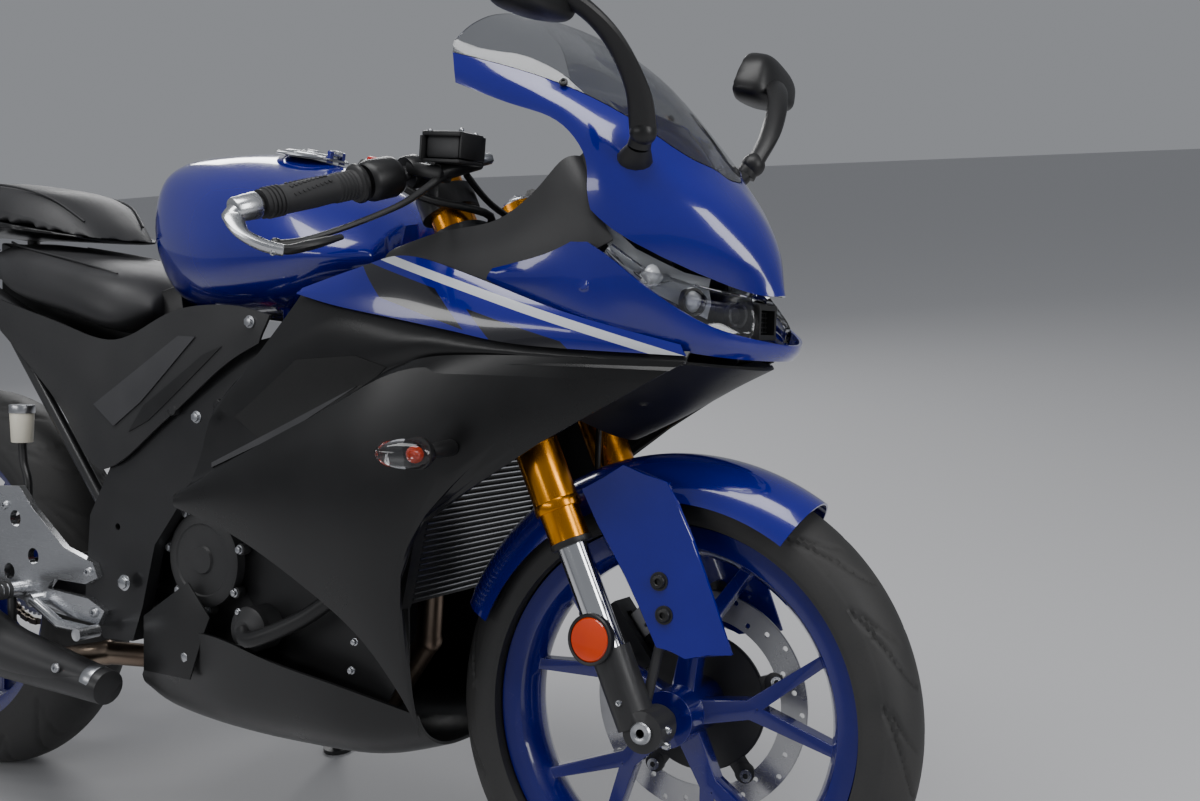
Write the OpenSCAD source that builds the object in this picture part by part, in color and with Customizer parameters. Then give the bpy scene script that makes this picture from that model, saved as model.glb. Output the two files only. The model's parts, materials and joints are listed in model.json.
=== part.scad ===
// Sport motorcycle with a full fairing, parked on its side stand.
// It is drawn upright: +X forward, +Y to the rider's left, +Z up, with the ground at 0
// and X = 0 a little behind the middle of the engine. park() then leans it over onto the stand.

/* [Chassis] */
// Distance between the wheel axles
wheelbase = 1325; // [1310:1:1340]
// Steering axis, degrees back from the vertical
caster = 25.5; // [24.5:0.1:26.5]
// Distance from the steering axis forward to the fork legs
yoke_offset = 33; // [30:1:36]
// Distance from the fork legs forward to the front axle
axle_offset = 13; // [10:1:16]
// Half the distance between the fork legs
leg_y = 94; // [92:1:98]
// Steering angle that it is parked at, degrees to the left
steer_rest = 6; // [0:1:10]
// Lean to the left on the side stand, degrees
lean = 10; // [8:0.5:12]

/* [Wheels] */
// Front tyre outer radius
front_r = 296; // [292:1:300]
// Front tyre width
front_w = 100; // [90:1:104]
// Rear tyre outer radius
rear_r = 314; // [308:1:318]
// Rear tyre width
rear_w = 140; // [130:1:142]
// Rim radius at the bead seats
bead_r = 217; // [214:1:220]
// Height of the rim flanges above the bead seats
flange_h = 13; // [11:1:15]
// Front rim width between its flanges
front_rim_w = 62; // [56:1:66]
// Rear rim width between its flanges
rear_rim_w = 96; // [90:1:100]
// Number of forked spokes in each wheel
spokes = 5; // [5:1:6]

/* [Brakes and drive] */
// Front brake disc radius
front_disc_r = 141; // [120:1:145]
// Front brake disc, distance left of the centre line
front_disc_y = 60; // [58:1:61]
// Rear brake disc radius
rear_disc_r = 110; // [100:1:115]
// Rear brake disc and chain, distance from the centre line
chain_y = 84; // [83:1:85]
// Brake disc thickness
disc_t = 4; // [3:0.5:5]
// Rear sprocket radius over its teeth
sprocket_r = 83; // [76:1:86]
// Gap that moving pieces keep from their neighbours
gap = 5; // [5:0.5:6]

/* [Fork] */
// Upper fork tube radius
tube_r = 27; // [25:0.5:28]
// Sliding lower tube radius
stanchion_r = 18.5; // [17:0.5:20]
// Fork leg length from the axle to the top cap
leg_top = 700; // [690:5:710]
// Height of the upper tubes' lower end along the leg
tube_low = 235; // [220:5:250]
// Radius of the axles
axle_r = 8; // [7:0.5:9]

/* [Body] */
// Thickness of the moulded panels
skin_t = 4; // [3:0.5:5]
// Half the distance to the outside of the frame plates
plate_y = 144; // [140:1:148]
// Thickness of the frame plates
plate_t = 18; // [14:1:20]

/* [Side stand] */
// Sideways reach of the foot from the centre line
foot_y = 250; // [235:5:265]
// Radius of the stand leg
stand_r = 10; // [8:0.5:12]

/* [Hidden] */
$fn = 48;

front_x = 662.5;
rear_x = front_x - wheelbase;
front_z = front_r - 3;
rear_z = rear_r - 3;
up = [-sin(caster), 0, cos(caster)];
ahead = [cos(caster), 0, sin(caster)];
front_axle = [front_x, 0, front_z];
rear_axle = [rear_x, 0, rear_z];
leg_base = front_axle - axle_offset * ahead;
axis_base = leg_base - yoke_offset * ahead;
lower_yoke = 440;
upper_yoke = 606;
yoke_t = 28;
stem_r = 16;
clip_at = 658;
pivot = [-150, 0, 395];
plate_in = plate_y - plate_t;
seat_gap = 0.3;
fit = 0.05;
stay_y = 70;
clamp_in = leg_y - 22;
front_hub = front_disc_y - disc_t / 2;
rear_hub = chain_y - 3;
arm_in = 96;
arm_out = 120;
// How far the rounded rear tyre drops as the machine leans.
drop = rear_w / 2 - (rear_z - rear_r + rear_w / 2) * cos(lean);
blue = [0.04, 0.06, 0.55];
black = [0.05, 0.05, 0.055];
grey = [0.16, 0.16, 0.17];
steel = [0.7, 0.7, 0.72];
silver = [0.8, 0.8, 0.82];
gold = [0.85, 0.5, 0.08];
// Parked, the box that encloses the machine is centred on the origin and its tyres touch the ground.
park_shift = [36, -155, drop];

function leg_point(along, y) = leg_base + along * up + [0, y, 0];
function axis_point(along) = axis_base + along * up;

// Points on a smooth open curve through the given points.
function curve_at(p, i, t) =
    let (a = p[max(i - 1, 0)], b = p[i], c = p[i + 1], d = p[min(i + 2, len(p) - 1)])
    0.5 * (2 * b + (c - a) * t + (2 * a - 5 * b + 4 * c - d) * t * t
        + (3 * b - a - 3 * c + d) * t * t * t);
function smooth(p, n) =
    [for (i = [0 : len(p) - 2]) for (k = [0 : n - 1]) curve_at(p, i, k / n), p[len(p) - 1]];
function column(rows, j) = [for (r = rows) r[j]];
function grid(sections, nu, nv) =
    let (fine = [for (s = sections) smooth(s, nv)],
         columns = [for (j = [0 : len(fine[0]) - 1]) smooth(column(fine, j), nu)])
    [for (i = [0 : len(columns[0]) - 1]) column(columns, i)];
function across(p) = [p.x, -p.y, p.z];
// Carries sections that end on the centre line on round to the other side.
function wrap(sections) =
    concat(sections, [for (k = [len(sections) - 2 : -1 : 0]) [for (p = sections[k]) across(p)]]);
function unit(v) = v / norm(v);
function normal_at(g, i, j) =
    let (u = len(g) - 1, v = len(g[0]) - 1,
         du = g[min(i + 1, u)][j] - g[max(i - 1, 0)][j],
         dv = g[i][min(j + 1, v)] - g[i][max(j - 1, 0)])
    unit(cross(dv, du));

// Moulded panel: a sheet of the given thickness behind a smooth grid of points.
// Sections run from the rear forward, and the points in each run upward on the left side.
module skin(sections, nu, nv, t = skin_t) {
    g = grid(sections, nu, nv);
    rows = len(g);
    cols = len(g[0]);
    inner = [for (i = [0 : rows - 1]) [for (j = [0 : cols - 1]) g[i][j] - t * normal_at(g, i, j)]];
    points = [for (layer = [g, inner]) for (row = layer) for (p = row) p];
    back = rows * cols;
    sheet = [for (i = [0 : rows - 2]) for (j = [0 : cols - 2])
        let (a = i * cols + j, b = a + cols, c = b + 1, d = a + 1) each [[a, b, c], [a, c, d]]];
    rim = concat([for (i = [0 : rows - 1]) i * cols],
        [for (j = [1 : cols - 1]) (rows - 1) * cols + j],
        [for (i = [rows - 2 : -1 : 0]) i * cols + cols - 1],
        [for (j = [cols - 2 : -1 : 1]) j]);
    edge = [for (k = [0 : len(rim) - 1])
        let (a = rim[k], b = rim[(k + 1) % len(rim)])
        each [[b, a, a + back], [b, a + back, b + back]]];
    polyhedron(points, concat(sheet, [for (f = sheet) [f[2], f[1], f[0]] + [back, back, back]], edge));
}

// Solid body through half sections [x, [[y, z], ...]], each from bottom centre to top centre.
module solid_body(stations, nu, nv) {
    halves = grid([for (s = stations) [for (p = s[1]) [s[0], p[0], p[1]]]], nu, nv);
    rings = [for (h = halves) concat(h, [for (k = [len(h) - 2 : -1 : 1]) across(h[k])])];
    n = len(rings[0]);
    last = (len(rings) - 1) * n;
    sides = [for (i = [0 : len(rings) - 2]) for (j = [0 : n - 1])
        let (a = i * n + j, b = a + n, c = (i + 1) * n + (j + 1) % n, d = i * n + (j + 1) % n)
        each [[a, b, c], [a, c, d]]];
    polyhedron([for (r = rings) for (p = r) p],
        concat(sides, [[for (j = [0 : n - 1]) j]], [[for (j = [n - 1 : -1 : 0]) last + j]]));
}

// Round bar from one point to another.
module bar(a, b, r, r2 = undef) {
    d = b - a;
    translate(a) rotate([0, acos(d.z / norm(d)), atan2(d.y, d.x)])
        cylinder(h = norm(d), r1 = r, r2 = is_undef(r2) ? r : r2);
}
// Bent rod or pipe, with a ball a little larger than the rod at each bend.
module tube(points, r, ball = 1.03) {
    for (k = [0 : len(points) - 2]) bar(points[k], points[k + 1], r);
    for (k = [1 : len(points) - 2]) translate(points[k]) sphere(r * ball);
}
// Plate with its outline in X and Z, from y low to y high.
module plate(outline, low, high) {
    translate([0, high, 0]) rotate([90, 0, 0]) linear_extrude(high - low) polygon(outline);
}
module sides() {
    children();
    mirror([0, 1, 0]) children();
}
module wheel_turned(centre) {
    translate(centre) rotate([90, 0, 0]) children();
}
module along_leg(y, along) {
    translate(leg_point(along, y)) rotate([0, -caster, 0]) children();
}
module steered() {
    translate(axis_base) rotate(a = steer_rest, v = up) translate(-axis_base) children();
}
module park() {
    translate(park_shift) rotate([-lean, 0, 0]) children();
}

// ---- Wheels ----

function tyre_half(r, w, rim_w) =
    let (c = r - w / 2, lip = bead_r + flange_h + 3, last = acos((lip - c) / (w / 2)), wall = 8)
    concat([for (k = [0 : 12]) let (a = last * k / 12) [c + w / 2 * cos(a), w / 2 * sin(a)]],
        [[lip, rim_w / 2 + 5], [lip, rim_w / 2 - 1], [bead_r + seat_gap, rim_w / 2 - 3],
            [bead_r + seat_gap, rim_w / 2 - 13], [lip, rim_w / 2 - 9]],
        [for (k = [8 : -1 : 0]) let (a = 75 * k / 8)
            [c + (w / 2 - wall) * cos(a), (w / 2 - wall) * sin(a)]]);
module tyre(centre, r, w, rim_w) {
    half = tyre_half(r, w, rim_w);
    color([0.06, 0.06, 0.06]) wheel_turned(centre) rotate_extrude($fn = 96)
        polygon(concat(half, [for (k = [len(half) - 1 : -1 : 1]) [half[k][0], -half[k][1]]]));
}
// hub_left and hub_right are the faces of the hub, from the centre line.
module rim(centre, rim_w, hub_left, hub_right, hub_r) {
    half = [[bead_r + flange_h, rim_w / 2 + 4], [bead_r + flange_h, rim_w / 2],
        [bead_r, rim_w / 2 - 2], [bead_r, rim_w / 2 - 14], [bead_r - 18, rim_w / 2 - 20]];
    under = [[bead_r - 24, rim_w / 2 - 22], [bead_r - 12, rim_w / 2 + 2]];
    ring = concat(half, [for (k = [len(half) - 1 : -1 : 0]) [half[k][0], -half[k][1]]],
        [for (p = [under[1], under[0]]) [p[0], -p[1]]], under);
    color(blue) wheel_turned(centre) difference() {
        union() {
            rotate_extrude($fn = 96) polygon(ring);
            translate([0, 0, -hub_left]) cylinder(h = hub_left + hub_right, r = hub_r);
            for (k = [0 : spokes - 1]) rotate([0, 0, 360 / spokes * k + 10]) spoke(hub_r);
        }
        cylinder(h = 2 * (hub_left + hub_right), r = axle_r + fit, center = true);
    }
}
module spoke(hub_r) {
    fork_r = 95;
    tip_r = bead_r - 20;
    tip_a = 15;
    linear_extrude(24, center = true) {
        polygon([[hub_r - 8, -15], [fork_r + 6, -11], [fork_r + 6, 11], [hub_r - 8, 15]]);
        for (s = [-1, 1]) polygon([[fork_r - 6, 11 * s], [fork_r + 10, -2 * s],
            [tip_r * cos(tip_a - 1.5), s * tip_r * sin(tip_a - 1.5)],
            [tip_r * cos(tip_a + 2.5), s * tip_r * sin(tip_a + 2.5)]]);
    }
}
module disc(centre, y, r, band) {
    color(steel) wheel_turned(centre + [0, y, 0]) difference() {
        cylinder(h = disc_t, r = r, center = true, $fn = 96);
        cylinder(h = disc_t + 1, r = r - band, center = true, $fn = 96);
    }
    carrier_r = r - band;
    color(black) wheel_turned(centre + [0, y, 0]) difference() {
        cylinder(h = disc_t, r = carrier_r, center = true);
        cylinder(h = disc_t + 1, r = 30, center = true);
        for (k = [0 : 4]) rotate([0, 0, 72 * k]) translate([carrier_r * 0.62, 0, 0])
            cylinder(h = disc_t + 1, r = 15, center = true);
    }
}

module front_rim() rim(front_axle, front_rim_w, front_hub, 50, 34);
module front_tyre() tyre(front_axle, front_r, front_w, front_rim_w);
module front_disc() disc(front_axle, front_disc_y, front_disc_r, 34);
module rear_rim() rim(rear_axle, rear_rim_w, rear_hub, rear_hub + 1, 40);
module rear_tyre() tyre(rear_axle, rear_r, rear_w, rear_rim_w);
module rear_disc() disc(rear_axle, -chain_y, rear_disc_r, 34);
module rear_sprocket() color(steel) wheel_turned(rear_axle + [0, chain_y, 0]) difference() {
    cylinder(h = 6, r = sprocket_r, center = true);
    cylinder(h = 7, r = 30, center = true);
}

// ---- Steering ----

module yokes() color(grey) {
    stem = tube_r - 5;
    for (at = [lower_yoke, upper_yoke]) difference() {
        union() {
            hull() for (y = [-leg_y, leg_y]) along_leg(y, at) cylinder(h = yoke_t, r = tube_r + 8);
            translate(axis_point(at)) rotate([0, -caster, 0]) cylinder(h = yoke_t, r = stem + 12);
        }
        for (y = [-leg_y, leg_y]) along_leg(y, at - 1) cylinder(h = yoke_t + 2, r = tube_r + 0.05);
    }
    bar(axis_point(lower_yoke + 4), axis_point(upper_yoke + yoke_t + 10), stem_r);
}
module fork_tubes() color(gold) for (y = [-leg_y, leg_y]) along_leg(y, 0) {
    difference() {
        union() {
            translate([0, 0, tube_low + 40]) cylinder(h = leg_top - tube_low - 40, r = tube_r);
            translate([0, 0, tube_low]) cylinder(h = 40, r = tube_r - 3);
        }
        translate([0, 0, tube_low - 1]) cylinder(h = leg_top - tube_low - 20, r = stanchion_r + 0.05);
    }
}
module fork_stanchions() color(steel) for (y = [-leg_y, leg_y])
    along_leg(y, 60) cylinder(h = 380, r = stanchion_r);
axle_length = 2 * (leg_y + 26);
axle_bore_r = 5;
module axle_clamps() color(black) {
    for (s = [-1, 1]) {
        difference() {
            union() {
                along_leg(s * leg_y, 8) cylinder(h = 92, r = 24);
                translate([front_x, s * leg_y, front_z]) rotate([90, 0, 0])
                    cylinder(h = 44, r = 24, center = true);
            }
            translate(front_axle) rotate([90, 0, 0]) cylinder(h = 300, r = axle_bore_r, center = true);
            along_leg(s * leg_y, 60) cylinder(h = 60, r = stanchion_r + 0.05);
        }
    }
    difference() {
        translate(front_axle) rotate([90, 0, 0]) cylinder(h = axle_length, r = axle_r, center = true);
        translate(front_axle) rotate([90, 0, 0])
            cylinder(h = axle_length + 2, r = axle_bore_r, center = true);
    }
    // spacers and the lugs that carry the caliper and the mudguard
    difference() {
        union() {
            bar(front_axle + [0, front_hub + seat_gap, 0], front_axle + [0, clamp_in + 1, 0], 14);
            bar(front_axle - [0, 50 + seat_gap, 0], front_axle - [0, clamp_in + 1, 0], 14);
        }
        translate(front_axle) rotate([90, 0, 0]) cylinder(h = 300, r = axle_r, center = true);
    }
    for (s = [-1, 1]) {
        bar(leg_point(30, s * (leg_y - 14)) + [12, 0, 0], [672, s * 78, 432], 6);
        bar([672, s * 73, 432], [672, s * (86 - seat_gap), 432], 11);
    }
    bar(leg_point(28, leg_y - 10), caliper_at + [8, 16, -26], 9);
}
bar_in = [356, 122, 934];
bar_out = [284, 338, 858];
bar_r = 9;
function on_bar(t) = bar_in + t * (bar_out - bar_in);
module clip_ons() color(black) sides() {
    difference() {
        union() {
            along_leg(leg_y, clip_at) cylinder(h = 28, r = tube_r + 9);
            bar(leg_point(clip_at + 14, leg_y + tube_r + 2), bar_in, 11);
        }
        along_leg(leg_y, clip_at - 1) cylinder(h = 60, r = tube_r + fit);
    }
    bar(on_bar(-0.05), on_bar(1.02), bar_r);
}
module grips() color([0.08, 0.08, 0.08]) sides() difference() {
    union() {
        bar(on_bar(0.45), on_bar(0.98), 16);
        bar(on_bar(0.45), on_bar(0.48), 20);
    }
    bar(on_bar(0.3), on_bar(1.05), bar_r + fit);
}
module hand_controls() {
    color(black) sides() {
        // switch pod, lever perch, lever and lever guard
        difference() {
            union() {
                bar(on_bar(0.2), on_bar(0.43), 23);
                hull() {
                    bar(on_bar(0.11), on_bar(0.19), 14);
                    translate([38, 4, -4]) bar(on_bar(0.11), on_bar(0.19), 11);
                }
                bar(on_bar(0.15), on_bar(0.22), 12);
            }
            bar(on_bar(-0.2), on_bar(0.6), bar_r + fit);
        }
        tube([on_bar(0.1) + [40, 8, -6], on_bar(0.4) + [52, 4, -26], on_bar(0.75) + [46, 0, -38],
            on_bar(1.0) + [34, -6, -42]], 6);
        tube([on_bar(1.0213), on_bar(1.12), on_bar(1.13) + [22, 4, -26], on_bar(1.04) + [50, 4, -46],
            on_bar(0.8) + [62, 0, -44]], 7);
    }
    // brake fluid reservoir on the right
    color(grey) translate(reservoir_at) rotate([0, 0, -8]) cube([56, 42, 36], center = true);
    color(grey) bar(across(on_bar(0.1)) + [36, -8, 6], reservoir_at - [0, 0, 10], 9);
}
reservoir_at = [406, -156, 951];
mudguard_in = front_w / 2 + 14;
module front_mudguard() color(blue) {
    c = front_r - front_w / 2;
    wheel_turned(front_axle) rotate([0, 0, 58]) rotate_extrude(angle = 101, $fn = 96) difference() {
        translate([c, 0]) circle(mudguard_in + 3);
        translate([c, 0]) circle(mudguard_in);
        translate([0, -150]) square([c + 12, 300]);
    }
    sides() {
        plate([[560, 560], [612, 592], [668, 576], [700, 530], [757, 388], [700, 377], [664, 386],
            [612, 478], [578, 520]], 86, 90);
        hull() {
            plate([[600, 560], [612, 584], [660, 570], [668, 545]], 86, 88);
            plate([[600, 575], [612, 588], [660, 574], [660, 560]], 60, 61);
        }
    }
}
caliper_at = front_axle + [-108, front_disc_y + 2, 64];
module front_caliper() color(black) difference() {
    translate(caliper_at) rotate([0, -38, 0]) cube([52, 44, 92], center = true);
    wheel_turned(front_axle + [0, front_disc_y, 0])
        cylinder(h = disc_t + 2 * gap, r = front_disc_r + gap, center = true);
    bar(leg_point(28, leg_y - 10), caliper_at + [8, 16, -26], 9 + fit);
}

// ---- Frame, engine and running gear ----

spar_knee = [[-230, 340], [-218, 470], [-168, 552], [-60, 630], [50, 712], [150, 734], [175, 660],
    [80, 600], [-20, 520], [-85, 440], [-110, 350], [-130, 300], [-190, 296]];
head_low = lower_yoke + yoke_t + 6;
head_high = upper_yoke - 6;
shock_top = [0, 0, 615];
slider_hole = [-160, 0, 458];
slider_r = 5;
module main_frame() {
    beams();
    stand_bracket();
}
module beams() color(grey) {
    difference() {
        union() {
            sides() {
                plate(spar_knee, plate_in, plate_y);
                hull() {
                    plate([[110, 640], [120, 715], [165, 715], [172, 668]], plate_in, plate_y);
                    plate([[282, 690], [282, 756], [300, 762], [300, 696]], 20, 40);
                }
                bar([-20, plate_in - 1, 600], [-640, 78, 830], 11);
                bar([-190, plate_in - 1, 455], [-520, 88, 782], 9);
            }
            plate([[276, 690], [276, 756], [352, 790], [372, 735], [392, 705], [300, 692]], -38, 38);
            translate(axis_point(head_low)) rotate([0, -caster, 0])
                cylinder(h = head_high - head_low, r = 26);
        }
        translate(axis_point(head_low - 1)) rotate([0, -caster, 0])
            cylinder(h = head_high - head_low + 2, r = stem_r + fit);
        // threaded holes for crash protectors
        sides()
            bar([slider_hole.x, plate_in - 1, slider_hole.z], [slider_hole.x, plate_y + 1, slider_hole.z], slider_r);
    }
    // cross tubes: swingarm, shock absorber, tank, seat and tail
    for (p = [[-190, 337], [shock_top.x, shock_top.z], [110, 690]])
        bar([p[0], -plate_in - 1, p[1]], [p[0], plate_in + 1, p[1]], 12);
    for (x = [-300, -600]) bar([x, -seat_rail(x), rail_z(x)], [x, seat_rail(x), rail_z(x)], 9);
}
function rail_z(x) = 600 + (x + 20) * -230 / 620;
function seat_rail(x) = plate_in - 1 + (x + 20) * (plate_in - 79) / 620;
module engine() color([0.09, 0.09, 0.1]) {
    difference() {
        plate([[-100, 330], [-95, 430], [-40, 480], [110, 480], [190, 420], [190, 290], [130, 250],
            [-40, 250]],
            -100, 100);
        // recess round the front sprocket
        translate([-118, 72, 250]) cube([106, 50, 250]);
    }
    translate([120, 0, 420]) rotate([0, 38, 0]) translate([0, 0, 100]) cube([110, 150, 200], center = true);
    bar([-10, -99, 425], [-10, -124, 425], 62);
    bar([93, -99, 345], [93, -138, 345], 30);
    bar([52, 99, 395], [52, 122, 395], 60);
    for (s = [-1, 1]) bar([-20, s * 70, 540], [-20, s * (plate_in - seat_gap), 540], 12);
    for (s = [-1, 1]) bar([-20, s * 70, 540], [-20, s * 70, 470], 12);
}
module radiator() color([0.07, 0.07, 0.075]) {
    translate([345, 0, 500]) rotate([0, 12, 0]) {
        cube([26, 230, 190], center = true);
        for (s = [-1, 1]) translate([0, s * 122, 0]) cube([32, 18, 196], center = true);
    }
    // stays from the cylinder head
    for (s = [-1, 1]) bar([286.6, s * 50, 544.6], [345, s * 50, 544.6], 8);
}
// Threaded holes for paddock stand bobbins, behind the rear axle.
bobbin = [rear_x - 22, 0, rear_z - 8];
bobbin_r = 4;
bobbin_depth = 20;
module swingarm() color(black) {
    sides() difference() {
        union() {
            hull() {
                translate([pivot.x, arm_in, pivot.z]) rotate([-90, 0, 0])
                    cylinder(h = arm_out - arm_in, r = 32);
                translate([rear_x, arm_in, rear_z]) rotate([-90, 0, 0])
                    cylinder(h = arm_out - arm_in, r = 26);
            }
            bar(bobbin + [0, arm_in, 0], bobbin + [0, arm_out, 0], 14);
        }
        bar(bobbin + [0, arm_out - bobbin_depth, 0], bobbin + [0, arm_out + 1, 0], bobbin_r);
    }
    translate([-262, 0, 377]) cube([60, 2 * arm_in + 2, 50], center = true);
    translate(pivot) rotate([90, 0, 0]) cylinder(h = 2 * (plate_in - seat_gap), r = 14, center = true);
    translate(rear_axle) rotate([90, 0, 0]) cylinder(h = 252, r = axle_r, center = true);
    sides() bar(rear_axle + [0, rear_hub + 1.3, 0], rear_axle + [0, arm_in + 1, 0], 14);
}
shock_low = [-248, 0, 414];
module rear_shock() {
    way = unit(shock_top - shock_low);
    color(steel) bar(shock_low, shock_top - (12 + seat_gap) * way, 11);
    color(steel) translate(shock_low - [0, 0, 4]) cube([26, 26, 15.6], center = true);
    color([0.6, 0.05, 0.05]) bar(shock_low + 60 * way, shock_low + 245 * way, 26);
}
front_sprocket = [-70, 0, 380];
module drive_chain() color([0.35, 0.33, 0.3]) {
    out = sprocket_r + gap + 14;
    low = 34;
    translate([0, chain_y - 6, 0]) rotate([-90, 0, 0]) mirror([0, 1, 0]) linear_extrude(12) difference() {
        hull() {
            translate([rear_x, rear_z]) circle(out);
            translate([front_sprocket.x, front_sprocket.z]) circle(low + 14);
        }
        hull() {
            translate([rear_x, rear_z]) circle(out - 14);
            translate([front_sprocket.x, front_sprocket.z]) circle(low);
        }
    }
    bar(front_sprocket + [0, chain_y - 6, 0], front_sprocket + [0, chain_y + 6, 0], low - seat_gap);
    bar(front_sprocket + [0, 72 + seat_gap, 0], front_sprocket + [0, chain_y, 0], 16);
}
// It sits between the wheel and the right swingarm leg, and is bolted to the leg.
module rear_caliper() color(black) {
    w = 27.4;
    outer_y = -arm_in + seat_gap;
    translate(rear_axle + [100, outer_y + w / 2, 58]) rotate([0, -30, 0]) difference() {
        cube([74, w, 44], center = true);
        translate([-38, -outer_y - w / 2 - chain_y - disc_t / 2 - gap, -23])
            cube([38, disc_t + 2 * gap, 46]);
    }
}
module exhaust_pipe() color([0.45, 0.4, 0.36])
    tube([[256, 0, 504], [284, 0, 482], [280, -6, 330], [225, -30, 232], [60, -46, 216],
        [-200, -54, 250], pipe_bend, silencer_in], pipe_r, 1.1);
pipe_r = 17;
pipe_bend = [-244, -96, 258];
silencer_in = [-300, -171, 252];
silencer_front = [-420, -178, 268];
silencer_back = [-700, -192, 410];
silencer_r = 50;
module silencer() color(black) {
    way = unit(silencer_back - silencer_front);
    difference() {
        union() {
            bar([-150, -168, 236], silencer_front, 24, silencer_r - 8);
            translate(silencer_front) sphere(r = silencer_r);
            bar(silencer_front + 6 * way, silencer_back, silencer_r - 1, silencer_r + 4);
        }
        bar(pipe_bend, silencer_in + seat_gap * unit(silencer_in - pipe_bend), pipe_r + fit);
    }
    bar(silencer_back - way, silencer_back + 46 * way, silencer_r - 2, silencer_r - 20);
    // strap up to the right footrest bracket
    bar([-385, -150, 290], [-385, -150, 336], 6);
}
module rearsets() {
    color(silver) sides() difference() {
        plate([[-418, 496], [-360, 500], [-330, 470], [-262, 420], [-200, 404], [-190, 384], [-216, 372],
            [-285, 372], [-300, 356], [-210, 352], [-176, 338], [-190, 316], [-320, 326], [-400, 340],
            [-430, 366]], plate_y + seat_gap, plate_y + 10);
        for (p = [[-370, 452], [-330, 400], [-385, 372]]) translate([p[0], 0, p[1]]) rotate([-90, 0, 0])
            cylinder(h = 300, r = 12);
    }
    color(steel) sides() bar([-352, plate_y + 9, 352], [-352, plate_y + 104, 352], 11);
    // brake pedal on the right, gear lever on the left
    color(silver) sides() {
        bar([-312, plate_y + 9, 340], [-312, plate_y + 29, 340], 10);
        tube([[-312, plate_y + 24, 340], [-250, plate_y + 26, 314], [-180, plate_y + 26, 312]], 7);
        bar([-180, plate_y + 18, 312], [-180, plate_y + 52, 312], 9);
    }
}

// ---- Side stand ----

stand_top = [-150, plate_y + 22, 262];
stand_foot = [-118, foot_y, foot_y * tan(lean) - drop / cos(lean) + 8];
stand_folded = [-1, 0.08, -0.04];
stand_pin = unit(cross(stand_foot - stand_top, stand_folded));
module stand_bracket() color(grey) {
    bar([-150, plate_in + 7, 305], stand_top - 30 * stand_pin, 12);
    bar(stand_top - 34 * stand_pin, stand_top - (11 + seat_gap) * stand_pin, 13);
    bar(stand_top - 12 * stand_pin, stand_top + 14 * stand_pin, 6);
}
module side_stand() color(black) {
    difference() {
        union() {
            bar(stand_top - 11 * stand_pin, stand_top + 11 * stand_pin, 15);
            bar(stand_top, stand_foot, stand_r);
        }
        bar(stand_top - 20 * stand_pin, stand_top + 20 * stand_pin, 6 + fit);
    }
    translate(stand_foot) rotate([lean, 0, 0]) translate([0, 0, -8 * cos(lean)]) cylinder(h = 7, r = 26);
}

// ---- Bodywork ----

tank = [
    [-146, [[0, 838], [60, 840], [88, 880], [80, 935], [45, 962], [0, 968]]],
    [-110, [[0, 775], [80, 780], [118, 850], [104, 935], [58, 972], [0, 982]]],
    [0, [[0, 750], [110, 765], [150, 835], [128, 922], [72, 968], [0, 986]]],
    [120, [[0, 750], [120, 775], [162, 835], [136, 900], [84, 940], [0, 965]]],
    [220, [[0, 790], [110, 800], [150, 834], [122, 872], [76, 905], [0, 925]]],
    [264, [[0, 812], [80, 815], [105, 834], [85, 858], [50, 878], [0, 886]]]];
cap_at = [60, 0, 979];
cap_r = 38;
cap_pin = [cap_r + 5, 0, 9];
module at_cap() {
    translate(cap_at) rotate([0, 8, 0]) children();
}
module fuel_tank() {
    color(blue) difference() {
        solid_body(tank, 4, 3);
        at_cap() translate([0, 0, -2]) cylinder(h = 40, r = cap_r + 12);
    }
    // hinge ears of the cap, and the foot on the frame's cross tube
    color(steel) at_cap() sides() translate(cap_pin + [0, 8.3, 0]) {
        rotate([-90, 0, 0]) cylinder(h = 6, r = 3);
        translate([-3, 0, -cap_pin.z - 5]) cube([6, 6, cap_pin.z + 5]);
    }
    color(black) bar([110, 0, 702 + seat_gap], [110, 0, 770], 9);
    color(black) sides() bar([110, 90, 702 + seat_gap], [110, 90, 790], 9);
}
module fuel_cap() color(steel) at_cap() difference() {
    union() {
        translate([0, 0, -1.7]) cylinder(h = 8, r = cap_r);
        translate([0, 0, -1.7]) cylinder(h = 11, r = 14);
        translate([20, -8, 0]) cube([cap_pin.x - 20, 16, 6]);
        translate(cap_pin - [0, 8, 0]) rotate([-90, 0, 0]) cylinder(h = 16, r = 4);
    }
}
module rider_seat() color(black) {
    solid_body([
        [-500, [[0, 800], [60, 800], [92, 812], [88, 845], [50, 860], [0, 864]]],
        [-420, [[0, 770], [80, 772], [125, 790], [120, 838], [70, 854], [0, 857]]],
        [-300, [[0, 745], [90, 747], [132, 766], [130, 815], [80, 835], [0, 838]]],
        [-200, [[0, 724], [90, 727], [130, 746], [120, 795], [70, 816], [0, 820]]],
        [-152, [[0, 745], [60, 748], [92, 760], [80, 778], [45, 790], [0, 794]]]], 4, 3);
    sides() bar([-300, 40, rail_z(-300) + 9 + seat_gap], [-300, 40, 770], 8);
}
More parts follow.
